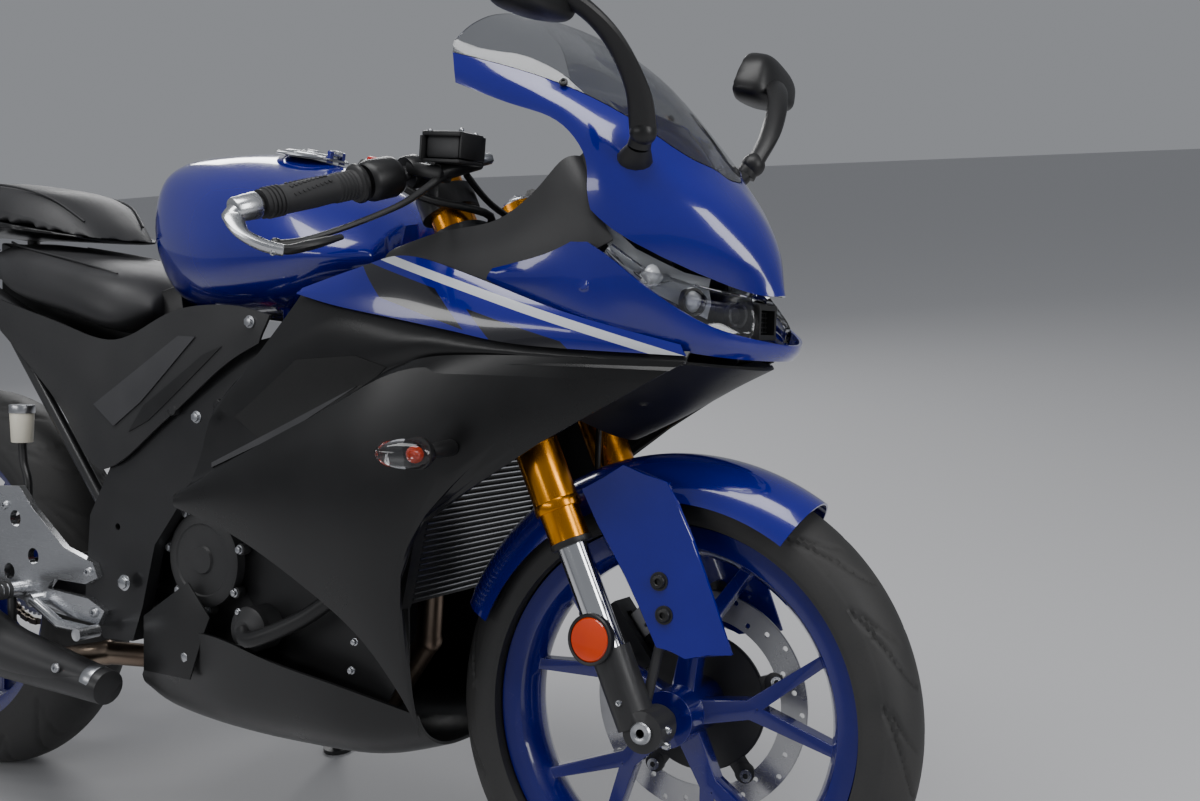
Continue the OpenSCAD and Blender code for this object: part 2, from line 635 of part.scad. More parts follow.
// The pillion pad sits on a sloping ledge of the tail.
ledge = [-330, 0, 868];
ledge_slope = 9;
module above_ledge(lift) {
    translate(ledge + [0, 0, lift]) rotate([0, ledge_slope, 0]) translate([lift - 320, -150, 0])
        cube([330, 300, 200]);
}
module pillion_seat() color([0.1, 0.1, 0.1]) intersection() {
    solid_body([
        [-640, [[0, 880], [40, 880], [70, 900], [60, 944], [35, 955], [0, 958]]],
        [-560, [[0, 870], [50, 870], [98, 890], [86, 942], [50, 956], [0, 960]]],
        [-470, [[0, 850], [55, 852], [112, 880], [92, 932], [52, 948], [0, 951]]],
        [-400, [[0, 845], [50, 846], [98, 868], [82, 914], [48, 934], [0, 938]]],
        [-350, [[0, 845], [40, 846], [72, 858], [62, 884], [38, 896], [0, 900]]],
        [-322, [[0, 846], [30, 847], [52, 854], [46, 862], [28, 866], [0, 868]]]], 3, 2);
    above_ledge(seat_gap);
}
module tail_cowl() color(black) {
    difference() {
        solid_body([
            [-930, [[0, 952], [16, 953], [26, 960], [22, 970], [12, 976], [0, 977]]],
            [-800, [[0, 905], [45, 907], [70, 925], [60, 956], [34, 972], [0, 975]]],
            [-640, [[0, 876], [70, 878], [106, 898], [92, 940], [50, 955], [0, 958]]],
            [-500, [[0, 870], [80, 872], [124, 885], [112, 915], [60, 930], [0, 932]]],
            [-400, [[0, 866], [76, 867], [112, 874], [104, 892], [60, 905], [0, 906]]],
            [-344, [[0, 864], [46, 865], [70, 868], [62, 876], [34, 880], [0, 881]]]], 3, 2);
        above_ledge(0);
    }
    sides() bar([-600, 40, rail_z(-600) + 9 + seat_gap], [-600, 40, 892], 9);
    bar([-730, 0, 880 + seat_gap], [-730, 0, 910], 8);
}
module side_covers() color(grey) sides() {
    skin([
        [[-470, 108, 726], [-466, 114, 740], [-458, 119, 756], [-452, 121, 772]],
        [[-316, 126, 628], [-310, 136, 660], [-300, 141, 700], [-296, 139, 742]],
        [[-190, 150, 536], [-180, 152, 600], [-172, 150, 660], [-170, 140, 718]],
        [[-60, 152, 610], [-50, 156, 655], [-44, 157, 705], [-40, 150, 762]],
        [[60, 158, 690], [66, 162, 715], [72, 164, 740], [78, 162, 770]],
        [[128, 161, 722], [134, 163, 732], [142, 164, 744], [150, 164, 758]]], 4, 3);
    bar([-40, plate_y + seat_gap, 628], [-40, 154, 628], 7);
    bar([-130, plate_y + seat_gap, 572], [-130, 150, 572], 5);
}
fairing = [
    [[5, 188, 505], [5, 190, 510], [6, 190, 516], [8, 190, 522], [20, 176, 535],
        [35, 168, 580], [52, 168, 632], [120, 169, 694], [184, 169, 758], [203, 164, 784]],
    [[110, 186, 478], [108, 196, 510], [118, 200, 545], [135, 197, 583], [150, 176, 590],
        [165, 170, 640], [180, 174, 690], [225, 178, 735], [270, 177, 763], [276, 170, 777]],
    [[220, 178, 425], [226, 197, 490], [245, 205, 565], [278, 198, 648], [290, 178, 655],
        [300, 174, 680], [312, 178, 705], [335, 181, 730], [366, 179, 748], [371, 172, 763]],
    [[300, 160, 365], [320, 190, 450], [345, 206, 560], [385, 194, 698], [392, 180, 702],
        [400, 176, 710], [408, 178, 718], [420, 180, 728], [446, 178, 737], [451, 171, 751]],
    [[345, 130, 285], [362, 168, 400], [402, 190, 530], [500, 178, 708], [506, 172, 710],
        [512, 170, 713], [518, 169, 716], [526, 169, 719], [542, 168, 723], [546, 161, 737]],
    [[356, 112, 236], [366, 150, 370], [405, 174, 520], [700, 124, 706], [704, 122, 709],
        [708, 121, 711], [712, 120, 713], [716, 119, 715], [720, 118, 718], [722, 110, 730]]];
module side_fairing() color(black) {
    skin(fairing, 4, 2);
    // bosses on the frame, the radiator and the fairing stay
    bar([60, plate_y + seat_gap, 640], [60, 167, 640], 8);
    bar([352, 131 + seat_gap, 500], [352, 190, 500], 7);
    bar([600, stay_y + seat_gap, 718], [600, 148, 718], 6);
}
module side_fairing_left() side_fairing();
module side_fairing_right() mirror([0, 1, 0]) side_fairing();
module flash_panels() color(blue) sides() {
    skin([
        [[204, 173, 785], [206, 173, 787], [209, 172, 789], [212, 171, 792]],
        [[274, 180, 771], [281, 179, 784], [290, 175, 801], [300, 169, 817]],
        [[370, 182, 757], [371, 180, 781], [372, 175, 808], [374, 166, 832]],
        [[450, 181, 745], [458, 180, 763], [468, 175, 784], [480, 164, 804]],
        [[545, 171, 731], [558, 170, 744], [572, 166, 757], [588, 156, 769]],
        [[722, 120, 725], [720, 121, 729], [718, 121, 733], [716, 121, 737]]], 4, 2);
    bar([560, stay_y + seat_gap, 752], [560, 167, 752], 6);
}
module belly_pan() color(black) {
    half = [
        [-200, [[0, 204], [45, 205], [66, 212], [72, 226]]],
        [-120, [[0, 186], [62, 189], [100, 216], [110, 300]]],
        [20, [[0, 178], [80, 184], [134, 226], [150, 332]]],
        [150, [[0, 178], [80, 184], [136, 226], [160, 314]]],
        [260, [[0, 182], [72, 188], [126, 226], [150, 296]]],
        [345, [[0, 206], [50, 210], [86, 232], [104, 262]]]];
    sections = [for (s = half) concat([for (k = [3 : -1 : 1]) [s[0], -s[1][k][0], s[1][k][1]]],
        [for (p = s[1]) [s[0], p[0], p[1]]])];
    skin(sections, 3, 3);
    for (x = [0, 110]) bar([x, 0, 180], [x, 0, 250 - seat_gap], 8);
}
module nose_cowl() color(blue) {
    skin(wrap([
        [[414, 134, 1034], [412, 134, 1046], [409, 132, 1058], [406, 130, 1070]],
        [[490, 137, 1006], [493, 136, 1018], [496, 133, 1031], [500, 127, 1044]],
        [[562, 140, 982], [568, 139, 993], [574, 133, 1004], [580, 120, 1015]],
        [[606, 147, 937], [616, 143, 950], [626, 130, 967], [640, 103, 983]],
        [[612, 146, 882], [642, 138, 900], [668, 112, 924], [688, 68, 947]],
        [[668, 119, 840], [702, 100, 864], [718, 76, 896], [706, 34, 936]],
        [[752, 40, 797], [760, 40, 836], [745, 36, 880], [716, 18, 926]],
        [[783, 0, 795], [772, 0, 840], [750, 0, 885], [717, 0, 925]]]), 3, 3);
    sides() bar([628, stay_y + seat_gap, 900], [628, 139, 900], 6);
}
module windscreen() color([0.2, 0.2, 0.22, 0.5]) skin(wrap([
    [[406, 130, 1070.8], [406, 129, 1075], [405, 128, 1080], [405, 126, 1084]],
    [[499.5, 126.8, 1044.8], [470, 122, 1066], [440, 116, 1084], [412, 106, 1106]],
    [[579.5, 119.8, 1015.8], [530, 112, 1056], [475, 98, 1092], [420, 76, 1124]],
    [[639.4, 102.8, 983.7], [575, 88, 1048], [500, 66, 1098], [425, 40, 1134]],
    [[687.4, 67.8, 947.7], [606, 50, 1042], [515, 36, 1100], [426, 24, 1138]],
    [[705.4, 33.8, 936.7], [616, 26, 1042], [522, 18, 1104], [428, 12, 1140]],
    [[715.4, 18, 926.7], [620, 13, 1041], [524, 9, 1105], [428, 6, 1140]],
    [[716.4, 0, 925.7], [621, 0, 1041], [525, 0, 1105], [428, 0, 1140]]]), 3, 3, 3);
module nose_sides() color(blue) {
    skin(wrap([
        [[480, 156, 805], [482, 157, 809], [485, 157, 813], [488, 156, 817]],
        [[545, 150, 774], [550, 155, 788], [556, 160, 808], [562, 160, 832]],
        [[615, 141, 752], [616, 146, 768], [616, 153, 806], [614, 157, 846]],
        [[672, 124, 738], [675, 129, 752], [680, 136, 772], [684, 140, 796]],
        [[720, 106, 728], [728, 111, 737], [734, 113, 747], [740, 112, 760]],
        [[762, 70, 722], [768, 72, 728], [774, 71, 735], [778, 66, 745]],
        [[787, 0, 720], [793, 0, 725], [797, 0, 731], [799, 0, 738]]]), 3, 2);
    sides() bar([610, stay_y + seat_gap, 800], [610, 153, 800], 6);
}
module headlights() color([0.8, 0.8, 0.82]) sides() {
    skin([
        [[633, 146, 838], [634, 142, 842], [633, 132, 846]],
        [[663, 139, 796], [667, 130, 808], [663, 106, 820]],
        [[703, 122, 770], [707, 106, 787], [699, 70, 806]],
        [[743, 94, 752], [746, 78, 770], [730, 44, 798]],
        [[766, 55, 740], [770, 49, 760], [753, 24, 794]]], 3, 3, 7);
    bar([672, stay_y + seat_gap, 808], [672, 126, 808], 8);
}
module nose_intake() color(black) {
    difference() {
        hull() {
            translate([712, 0, 768]) cube([10, 54, 44], center = true);
            translate([758, 0, 764]) cube([10, 46, 40], center = true);
        }
        translate([760, 0, 764]) cube([60, 36, 28], center = true);
    }
    bar([700 + seat_gap, 0, 766], [716, 0, 766], 10);
}
module chin_cowl() color(black) {
    skin(wrap([
        [[540, 140, 672], [600, 132, 690], [655, 118, 704], [708, 98, 715]],
        [[575, 70, 636], [640, 68, 664], [700, 62, 692], [750, 50, 711]],
        [[590, 0, 618], [655, 0, 650], [715, 0, 684], [764, 0, 709]]]), 4, 3);
    sides() bar([640, stay_y - 3, 665], [640, stay_y - 3, 680.6], 4);
}
module cockpit_panels() color(grey) sides() {
    skin([
        [[330, 156, 830], [333, 156, 834], [337, 154, 838], [342, 150, 842]],
        [[400, 159, 815], [402, 158, 828], [404, 154, 844], [406, 148, 860]],
        [[478, 152, 798], [480, 151, 818], [481, 149, 845], [482, 144, 872]],
        [[556, 148, 812], [552, 149, 840], [542, 147, 872], [530, 140, 902]],
        [[612, 144, 836], [604, 145, 866], [588, 142, 905], [566, 134, 940]],
        [[634, 133, 850], [622, 135, 872], [605, 134, 908], [586, 124, 944]]], 4, 3);
    bar([560, stay_y + seat_gap, 870], [560, 146, 870], 6);
}
module fairing_stay() color([0.12, 0.12, 0.12]) {
    sides() plate([[532, 748], [532, 890], [560, 925], [640, 925], [670, 868], [678, 782], [694, 716],
        [650, 680], [630, 684], [585, 712]], stay_y - 6, stay_y);
    translate([535, 0, 840]) cube([6, 2 * stay_y - 2, 90], center = true);
    translate([697, 0, 762]) cube([6, 2 * stay_y - 2, 40], center = true);
    bar(axis_point(548) + (26 + seat_gap) * ahead, axis_point(548) + 172 * ahead, 12);
    sides() bar([536, 40, 870], [584, 40, 902], 8);
}
module dashboard() color(black) difference() {
    hull() {
        translate([566, 0, 922]) rotate([0, -38, 0]) cube([16, 124, 80], center = true);
        translate([596, 0, 904]) rotate([0, -38, 0]) cube([16, 90, 50], center = true);
    }
    sides() bar([536, 40, 870], [584, 40, 902], 8 + seat_gap);
}
module mirrors() color(black) sides() {
    tube([[656, 124, 950], [682, 142, 985], [678, 190, 1045], [646, 250, 1088]], 9);
    bar([640, 112, 932], [657, 127, 953], 24, 16);
    hull() {
        translate([620, 262, 1100]) sphere(r = 32, $fn = 24);
        translate([594, 330, 1095]) sphere(r = 24, $fn = 24);
        translate([632, 265, 1112]) sphere(r = 20, $fn = 24);
    }
}
module indicators() sides() {
    color(black) bar([455, 184, 612], [457, 236, 610], 9);
    color([0.85, 0.85, 0.85]) hull() {
        translate([462, 246, 610]) sphere(r = 18, $fn = 24);
        translate([425, 268, 608]) sphere(r = 9, $fn = 24);
    }
}
plate_hole_y = 70;
plate_hole_r = 3.2;
module plate_hole(r, h) {
    translate([-985, plate_hole_y, 640]) rotate([0, -30, 0]) rotate([0, 90, 0])
        cylinder(h = h, r = r, center = true);
}
module rear_mudguard() color(black) {
    plate([[-744, 850], [-744, 880], [-716, 880], [-716, 850]], -10, 10);
    plate([[-700, 860], [-790, 874], [-880, 770], [-1000, 560], [-1030, 505], [-1022, 500], [-960, 570],
        [-850, 740], [-770, 830]], -50, 50);
    difference() {
        translate([-985, 0, 640]) rotate([0, -30, 0]) cube([4, 180, 90], center = true);
        sides() plate_hole(plate_hole_r, 20);
    }
    sides() bar([-905, 48, 690], [-905, 130, 690], 8);
    sides() translate([-905, 138, 690]) sphere(r = 18);
}
module tail_light() color([0.6, 0.02, 0.02]) translate([-934.2, 0, 964]) cube([8, 44, 16], center = true);

// ---- Assembly ----

park() main_frame();
park() engine();
park() radiator();
park() fuel_tank();
park() fuel_cap();
park() rider_seat();
park() pillion_seat();
park() tail_cowl();
park() side_covers();
park() side_fairing_left();
park() side_fairing_right();
park() flash_panels();
park() belly_pan();
park() nose_cowl();
park() nose_sides();
park() windscreen();
park() headlights();
park() nose_intake();
park() chin_cowl();
park() cockpit_panels();
park() fairing_stay();
park() dashboard();
park() mirrors();
park() indicators();
park() exhaust_pipe();
park() silencer();
park() rearsets();
park() swingarm();
park() rear_shock();
park() drive_chain();
park() rear_mudguard();
park() tail_light();
park() rear_caliper();
park() side_stand();
park() steered() yokes();
park() steered() fork_tubes();
park() steered() fork_stanchions();
park() steered() axle_clamps();
park() steered() clip_ons();
park() steered() grips();
park() steered() hand_controls();
park() steered() front_mudguard();
park() steered() front_caliper();
park() steered() front_rim();
park() steered() front_tyre();
park() steered() front_disc();
park() rear_rim();
park() rear_tyre();
park() rear_disc();
park() rear_sprocket();
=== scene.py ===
"""Sport motorcycle: the visual model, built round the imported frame.

Sizes are millimetres, and pieces are drawn with the machine upright and its wheels straight:
X forward, Y to the rider's left, Z up. A Place then leans, or turns and leans, each piece
into the parked position, in metres.
"""

from __future__ import annotations

import json
import logging
import math
from dataclasses import dataclass
from enum import Enum
from typing import Callable, Iterable, Sequence

import bmesh
import bpy
import numpy as np
from mathutils import Matrix, Vector
from mathutils.bvhtree import BVHTree

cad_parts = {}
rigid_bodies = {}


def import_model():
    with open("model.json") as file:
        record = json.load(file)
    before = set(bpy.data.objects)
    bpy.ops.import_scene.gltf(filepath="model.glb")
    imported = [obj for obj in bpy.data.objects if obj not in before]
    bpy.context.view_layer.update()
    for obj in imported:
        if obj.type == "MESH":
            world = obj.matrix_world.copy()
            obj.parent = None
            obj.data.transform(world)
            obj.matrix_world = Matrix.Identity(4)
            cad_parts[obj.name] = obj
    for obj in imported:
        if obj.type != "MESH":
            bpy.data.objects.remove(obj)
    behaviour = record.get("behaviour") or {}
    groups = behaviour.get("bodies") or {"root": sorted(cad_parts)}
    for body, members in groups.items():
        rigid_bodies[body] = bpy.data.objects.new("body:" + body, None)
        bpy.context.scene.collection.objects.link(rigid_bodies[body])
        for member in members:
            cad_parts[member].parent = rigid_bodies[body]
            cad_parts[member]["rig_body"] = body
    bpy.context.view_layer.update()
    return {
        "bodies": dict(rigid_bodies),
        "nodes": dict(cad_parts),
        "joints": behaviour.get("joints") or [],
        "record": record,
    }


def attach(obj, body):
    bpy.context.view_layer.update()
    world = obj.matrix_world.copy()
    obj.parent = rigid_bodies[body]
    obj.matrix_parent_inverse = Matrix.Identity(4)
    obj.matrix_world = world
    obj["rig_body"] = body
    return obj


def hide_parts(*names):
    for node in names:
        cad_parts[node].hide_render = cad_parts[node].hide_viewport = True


LOG = logging.getLogger("motorcycle")
Point = Sequence[float]
MM = 0.001
SHARP = math.radians(35)  # faces that meet at more than this keep a hard edge
COAT_ROUGH = 0.03
BUMP_STRENGTH = 0.6
SCRATCH_WIDTH = 0.004
OUTSIDE = 400.0  # beyond the widest panel, where rays onto it start
INBOARD = 60.0  # nearer the middle than any outer panel


# ---- Where the machine stands ----


@dataclass(frozen=True)
class Stance:
    """How the parked machine stands.

    Args:
        lean: lean to the left, degrees.
        steer: steering angle to the left, degrees.
        caster: steering axis back from the vertical, degrees.
        shift: place of the upright origin in the row frame.
        front_axle: centre of the front wheel.
        rear_axle: centre of the rear wheel.
        axle_ahead: front axle ahead of the steering axis.
        legs_behind: fork legs behind the front axle.
        leg_y: fork legs out from the middle.
    """

    lean: float = 10.0
    steer: float = 6.0
    caster: float = 25.5
    shift: tuple[float, float, float] = (36.0, -155.0, 4.018)
    front_axle: tuple[float, float, float] = (662.5, 0.0, 293.0)
    rear_axle: tuple[float, float, float] = (-662.5, 0.0, 311.0)
    axle_ahead: float = 46.0
    legs_behind: float = 13.0
    leg_y: float = 94.0

    @property
    def up(self) -> Vector:
        """Direction up the steering axis."""
        c = math.radians(self.caster)
        return Vector((-math.sin(c), 0, math.cos(c)))

    @property
    def ahead(self) -> Vector:
        """Direction forward, square to the steering axis."""
        c = math.radians(self.caster)
        return Vector((math.cos(c), 0, math.sin(c)))

    def leg(self, along: float, y: float = 0.0, out: float = 0.0) -> Vector:
        """Point on a fork leg.

        Args:
            along: distance up the leg from the axle's level.
            y: sideways place.
            out: distance forward of the leg's axis.

        Returns:
            The point.
        """
        base = Vector(self.front_axle) - self.legs_behind * self.ahead
        return base + along * self.up + out * self.ahead + Vector((0, y, 0))

    def leaned(self) -> Matrix:
        """Matrix from the upright frame, in mm, to the row frame, in metres."""
        turn = Matrix.Rotation(-math.radians(self.lean), 4, "X")
        return Matrix.Scale(MM, 4) @ Matrix.Translation(self.shift) @ turn

    def steered(self) -> Matrix:
        """The same for what turns with the fork."""
        base = Vector(self.front_axle) - self.axle_ahead * self.ahead
        turn = Matrix.Rotation(math.radians(self.steer), 4, self.up)
        return self.leaned() @ Matrix.Translation(base) @ turn @ Matrix.Translation(-base)


STANCE = Stance()


class Place(Enum):
    """Which part of the machine a piece is drawn with."""

    LEANED = "leaned"
    STEERED = "steered"

    def matrix(self) -> Matrix:
        """Matrix that takes a drawn piece to the row frame."""
        return STANCE.steered() if self is Place.STEERED else STANCE.leaned()


class Body(Enum):
    """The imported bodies, and how their pieces are placed."""

    ROOT = "root"
    STEERING = "steering"
    FRONT_WHEEL = "front_wheel"
    REAR_WHEEL = "rear_wheel"
    SIDE_STAND = "side_stand"
    FUEL_CAP = "fuel_cap"

    @property
    def place(self) -> Place:
        """Place of the body's pieces."""
        turned = (Body.STEERING, Body.FRONT_WHEEL)
        return Place.STEERED if self in turned else Place.LEANED


# ---- Finishes ----


class Nodes:
    """Short names for making a node tree."""

    def __init__(self, tree: bpy.types.NodeTree) -> None:
        """Keeps the tree.

        Args:
            tree: the node tree to fill.
        """
        self.tree = tree

    def add(self, kind: str, inputs: dict[str, object] | None = None, **values: object) -> bpy.types.Node:
        """Adds a node and sets its inputs and properties.

        Args:
            kind: Blender's name for the node type.
            inputs: values of its inputs, by name.
            values: properties of the node.

        Returns:
            The node.
        """
        node = self.tree.nodes.new(kind)
        for key, value in values.items():
            setattr(node, key, value)
        for key, value in (inputs or {}).items():
            node.inputs[key].default_value = value
        return node

    def link(self, out: bpy.types.NodeSocket, into: bpy.types.NodeSocket) -> None:
        """Links two sockets."""
        self.tree.links.new(out, into)

    def math(self, operation: str, a: object, b: object = 0.0) -> bpy.types.NodeSocket:
        """Adds a Math node.

        Args:
            operation: its operation.
            a: first socket or number.
            b: second socket or number.

        Returns:
            The node's output.
        """
        node = self.add("ShaderNodeMath", operation=operation)
        for socket, value in zip(node.inputs, (a, b)):
            if isinstance(value, bpy.types.NodeSocket):
                self.link(value, socket)
            else:
                socket.default_value = float(value)
        return node.outputs[0]

    def mix(self, mask: bpy.types.NodeSocket, a: object, b: object) -> bpy.types.NodeSocket:
        """Mixes two colours.

        Args:
            mask: share of the second colour.
            a: first colour or socket.
            b: second colour or socket.

        Returns:
            The mixed colour's socket.
        """
        node = self.add("ShaderNodeMix", data_type="RGBA")
        self.link(mask, node.inputs[0])
        for socket, value in zip((node.inputs[6], node.inputs[7]), (a, b)):
            if isinstance(value, bpy.types.NodeSocket):
                self.link(value, socket)
            else:
                socket.default_value = (*value[:3], 1.0)
        return node.outputs[2]


def surface_group() -> bpy.types.NodeTree:
    """Shared grain, cloudiness and fine scratches, made once.

    Returns:
        A group with inputs Vector, Scale and Scratches, and outputs Height, Cloud and Wear.
    """
    found = bpy.data.node_groups.get("surface detail")
    if found:
        return found
    tree = bpy.data.node_groups.new("surface detail", "ShaderNodeTree")
    tree.interface.new_socket("Vector", in_out="INPUT", socket_type="NodeSocketVector")
    for way, names in (("INPUT", ("Scale", "Scratches")), ("OUTPUT", ("Height", "Cloud", "Wear"))):
        for name in names:
            tree.interface.new_socket(name, in_out=way, socket_type="NodeSocketFloat")
    n = Nodes(tree)
    start, end = n.add("NodeGroupInput"), n.add("NodeGroupOutput")
    fine = n.add("ShaderNodeTexNoise", {"Detail": 3}, noise_dimensions="3D")
    n.link(start.outputs["Vector"], fine.inputs["Vector"])
    n.link(start.outputs["Scale"], fine.inputs["Scale"])
    n.link(fine.outputs["Fac"], end.inputs["Height"])
    broad = n.add("ShaderNodeTexNoise", {"Scale": 9, "Detail": 5})
    n.link(start.outputs["Vector"], broad.inputs["Vector"])
    ramp = n.add("ShaderNodeMapRange", {"From Min": 0.35, "From Max": 0.65})
    n.link(broad.outputs["Fac"], ramp.inputs["Value"])
    n.link(ramp.outputs["Result"], end.inputs["Cloud"])
    marks = n.add("ShaderNodeTexNoise", {"Scale": 60, "Detail": 8, "Distortion": 1.5})
    n.link(start.outputs["Vector"], marks.inputs["Vector"])
    middle = n.math("ABSOLUTE", n.math("SUBTRACT", marks.outputs["Fac"], 0.5))
    thin = n.math("LESS_THAN", middle, SCRATCH_WIDTH)
    n.link(n.math("MULTIPLY", thin, start.outputs["Scratches"]), end.inputs["Wear"])
    return tree


@dataclass(frozen=True)
class Finish:
    """A surface finish.

    Args:
        name: the finish, in a maker's words.
        slot: the record's material slot it belongs to; not used.
        colour: main colour, linear.
        shade: second colour of its cloudiness.
        rough: lowest and highest roughness.
        metallic: 0 or 1.
        coat: weight of the clear coat.
        grain: how many grains there are in a metre.
        bump: depth of the grain in millimetres.
        stretch: how the grain is drawn out along X, Y and Z.
        scratches: strength of fine scratches.
        clear: transmission of glass and lenses.
        paint: optional extra colouring, given nodes, position and colour.
    """

    name: str
    slot: str
    colour: tuple[float, float, float]
    shade: tuple[float, float, float]
    rough: tuple[float, float] = (0.35, 0.45)
    metallic: float = 0.0
    coat: float = 0.0
    grain: float = 900.0
    bump: float = 0.05
    stretch: tuple[float, float, float] = (1, 1, 1)
    scratches: float = 0.15
    clear: float = 0.0
    paint: Callable[[Nodes, bpy.types.NodeSocket, bpy.types.NodeSocket], bpy.types.NodeSocket] | None = None

    def material(self) -> bpy.types.Material:
        """The finish's material, made once."""
        found = bpy.data.materials.get(self.name)
        if found:
            return found
        made = bpy.data.materials.new(self.name)
        made.use_nodes = True
        n = Nodes(made.node_tree)
        n.tree.nodes.clear()
        shader = n.add("ShaderNodeBsdfPrincipled", {
            "Metallic": self.metallic, "Coat Weight": self.coat, "Coat Roughness": COAT_ROUGH,
            "Transmission Weight": self.clear})
        out = n.add("ShaderNodeOutputMaterial")
        n.link(shader.outputs[0], out.inputs[0])
        place = n.add("ShaderNodeTexCoord")
        drawn = n.add("ShaderNodeMapping", {"Rotation": (math.radians(STANCE.lean), 0, 0)})
        n.link(place.outputs["Object"], drawn.inputs["Vector"])
        pulled = n.add("ShaderNodeMapping", {"Scale": self.stretch})
        n.link(drawn.outputs["Vector"], pulled.inputs["Vector"])
        detail = n.add("ShaderNodeGroup", node_tree=surface_group())
        detail.inputs["Scale"].default_value = self.grain
        detail.inputs["Scratches"].default_value = self.scratches
        n.link(pulled.outputs["Vector"], detail.inputs["Vector"])
        colour = n.mix(detail.outputs["Cloud"], self.colour, self.shade)
        if self.paint:
            colour = self.paint(n, drawn.outputs["Vector"], colour)
        n.link(colour, shader.inputs["Base Color"])
        rough = n.add("ShaderNodeMapRange", {"To Min": self.rough[0], "To Max": self.rough[1]})
        n.link(detail.outputs["Cloud"], rough.inputs["Value"])
        n.link(n.math("ADD", rough.outputs["Result"], detail.outputs["Wear"]), shader.inputs["Roughness"])
        if self.bump:
            bump = n.add("ShaderNodeBump", {"Strength": BUMP_STRENGTH, "Distance": self.bump * MM})
            n.link(detail.outputs["Height"], bump.inputs["Height"])
            n.link(bump.outputs["Normal"], shader.inputs["Normal"])
        return made


def band(n: Nodes, value: bpy.types.NodeSocket, low: float, high: float) -> bpy.types.NodeSocket:
    """Mask that is 1 between two limits.

    Args:
        n: the tree's nodes.
        value: what is compared.
        low: lower limit.
        high: upper limit.

    Returns:
        The mask.
    """
    return n.math("MULTIPLY", n.math("GREATER_THAN", value, low), n.math("LESS_THAN", value, high))


def flash_graphic_and_highlight(n: Nodes, at: bpy.types.NodeSocket, base: bpy.types.NodeSocket) -> bpy.types.NodeSocket:
    """Paints slanted dark blocks, and a silver line along the top of the upper panels that is a painted
    highlight.

    Args:
        n: the tree's nodes.
        at: position, upright, in metres from the row origin.
        base: the colour painted over.

    Returns:
        The painted colour.
    """
    xyz = n.add("ShaderNodeSeparateXYZ")
    n.link(at, xyz.inputs[0])
    x, z = xyz.outputs["X"], xyz.outputs["Z"]
    # distance below the panel's upper edge, which falls towards the nose
    fall = n.math("ADD", z, n.math("MULTIPLY", x, 0.288))
    slant = n.math("ADD", x, n.math("MULTIPLY", z, 0.95))
    dark = band(n, fall, 0.868, 0.902)
    blocks = n.math("MULTIPLY", dark, band(n, slant, 1.10, 1.19))
    second = n.math("MULTIPLY", band(n, fall, 0.864, 0.893), band(n, slant, 1.215, 1.30))
    colour = n.mix(n.math("MAXIMUM", blocks, second), base, (0.008, 0.008, 0.012))
    # painted highlight: the silver line stands in for a strip light's reflection along the panel's upper edge
    line = n.math("MULTIPLY", band(n, fall, 0.910, 0.920), n.math("GREATER_THAN", slant, 1.09))
    return n.mix(line, colour, (0.62, 0.64, 0.68))


BLUE = Finish("blue lacquer", "gloss_blue", (0.0006, 0.0016, 0.20), (0.0009, 0.0022, 0.23), (0.14, 0.2),
              coat=1.0, grain=2500, bump=0.004, scratches=0.02)
# the flash panels' blue, with a painted highlight along their top
FLASH_AND_HIGHLIGHT = Finish("blue lacquer with graphic and painted highlight", "gloss_blue", (0.0006, 0.0016, 0.20), (0.0009, 0.0022, 0.23),
               (0.14, 0.2), coat=1.0, grain=2500, bump=0.004, scratches=0.02, paint=flash_graphic_and_highlight)
RIM_BLUE = Finish("rim paint", "rim_blue", (0.0006, 0.0015, 0.13), (0.001, 0.002, 0.16), (0.2, 0.28),
                  coat=0.8, grain=2000, bump=0.01, scratches=0.03)
SATIN = Finish("satin black panel", "satin_black", (0.0045, 0.0045, 0.0048), (0.0065, 0.0065, 0.007),
               (0.27, 0.34), grain=1600, bump=0.012, scratches=0.04)
GREY = Finish("grained grey plastic", "grey_plastic", (0.020, 0.020, 0.021), (0.027, 0.027, 0.028),
              (0.40, 0.5), grain=1300, bump=0.05)
BLACK = Finish("moulded black plastic", "black_plastic", (0.007, 0.007, 0.0075), (0.011, 0.011, 0.0115),
               (0.36, 0.48), grain=1200, bump=0.04)
FRAME = Finish("black frame paint", "black_frame", (0.011, 0.011, 0.012), (0.016, 0.016, 0.017),
               (0.32, 0.42), grain=700, bump=0.03, coat=0.2)
CASTING = Finish("black casting", "black_casting", (0.018, 0.018, 0.019), (0.028, 0.028, 0.030),
                 (0.36, 0.5), grain=500, bump=0.09)
# grey of the side covers' blades, and a painted highlight along the fairing's ridge
SLATE_AND_RIDGE_HIGHLIGHT = Finish("slate grey panel and painted ridge highlight", "grey_plastic", (0.040, 0.040, 0.043), (0.050, 0.050, 0.054),
               (0.36, 0.46), grain=1300, bump=0.04)
# painted shade: a near-black matt sheet that stands in for the shade inside the fairing's recessed intake
MATT_RECESS_SHADE = Finish("matt black duct with painted shade", "black_plastic", (0.0025, 0.0025, 0.0026), (0.004, 0.004, 0.0042),
              (0.55, 0.7), grain=1200, bump=0.05)
ENGINE = Finish("engine enamel", "engine_black", (0.024, 0.024, 0.025), (0.036, 0.036, 0.037), (0.45, 0.6),
                grain=420, bump=0.12)
VINYL = Finish("seat vinyl", "seat_vinyl", (0.022, 0.022, 0.0235), (0.032, 0.032, 0.034), (0.42, 0.56),
               grain=750, bump=0.25)
SCREEN = Finish("smoked screen", "clear_screen", (0.55, 0.56, 0.58), (0.52, 0.53, 0.55), (0.02, 0.04),
                clear=1.0, grain=200, bump=0.0, scratches=0.02)
LENS = Finish("clear lens", "lamp_clear", (0.95, 0.96, 0.98), (0.92, 0.93, 0.96), (0.01, 0.03), clear=1.0,
              grain=200, bump=0.0, scratches=0.01)
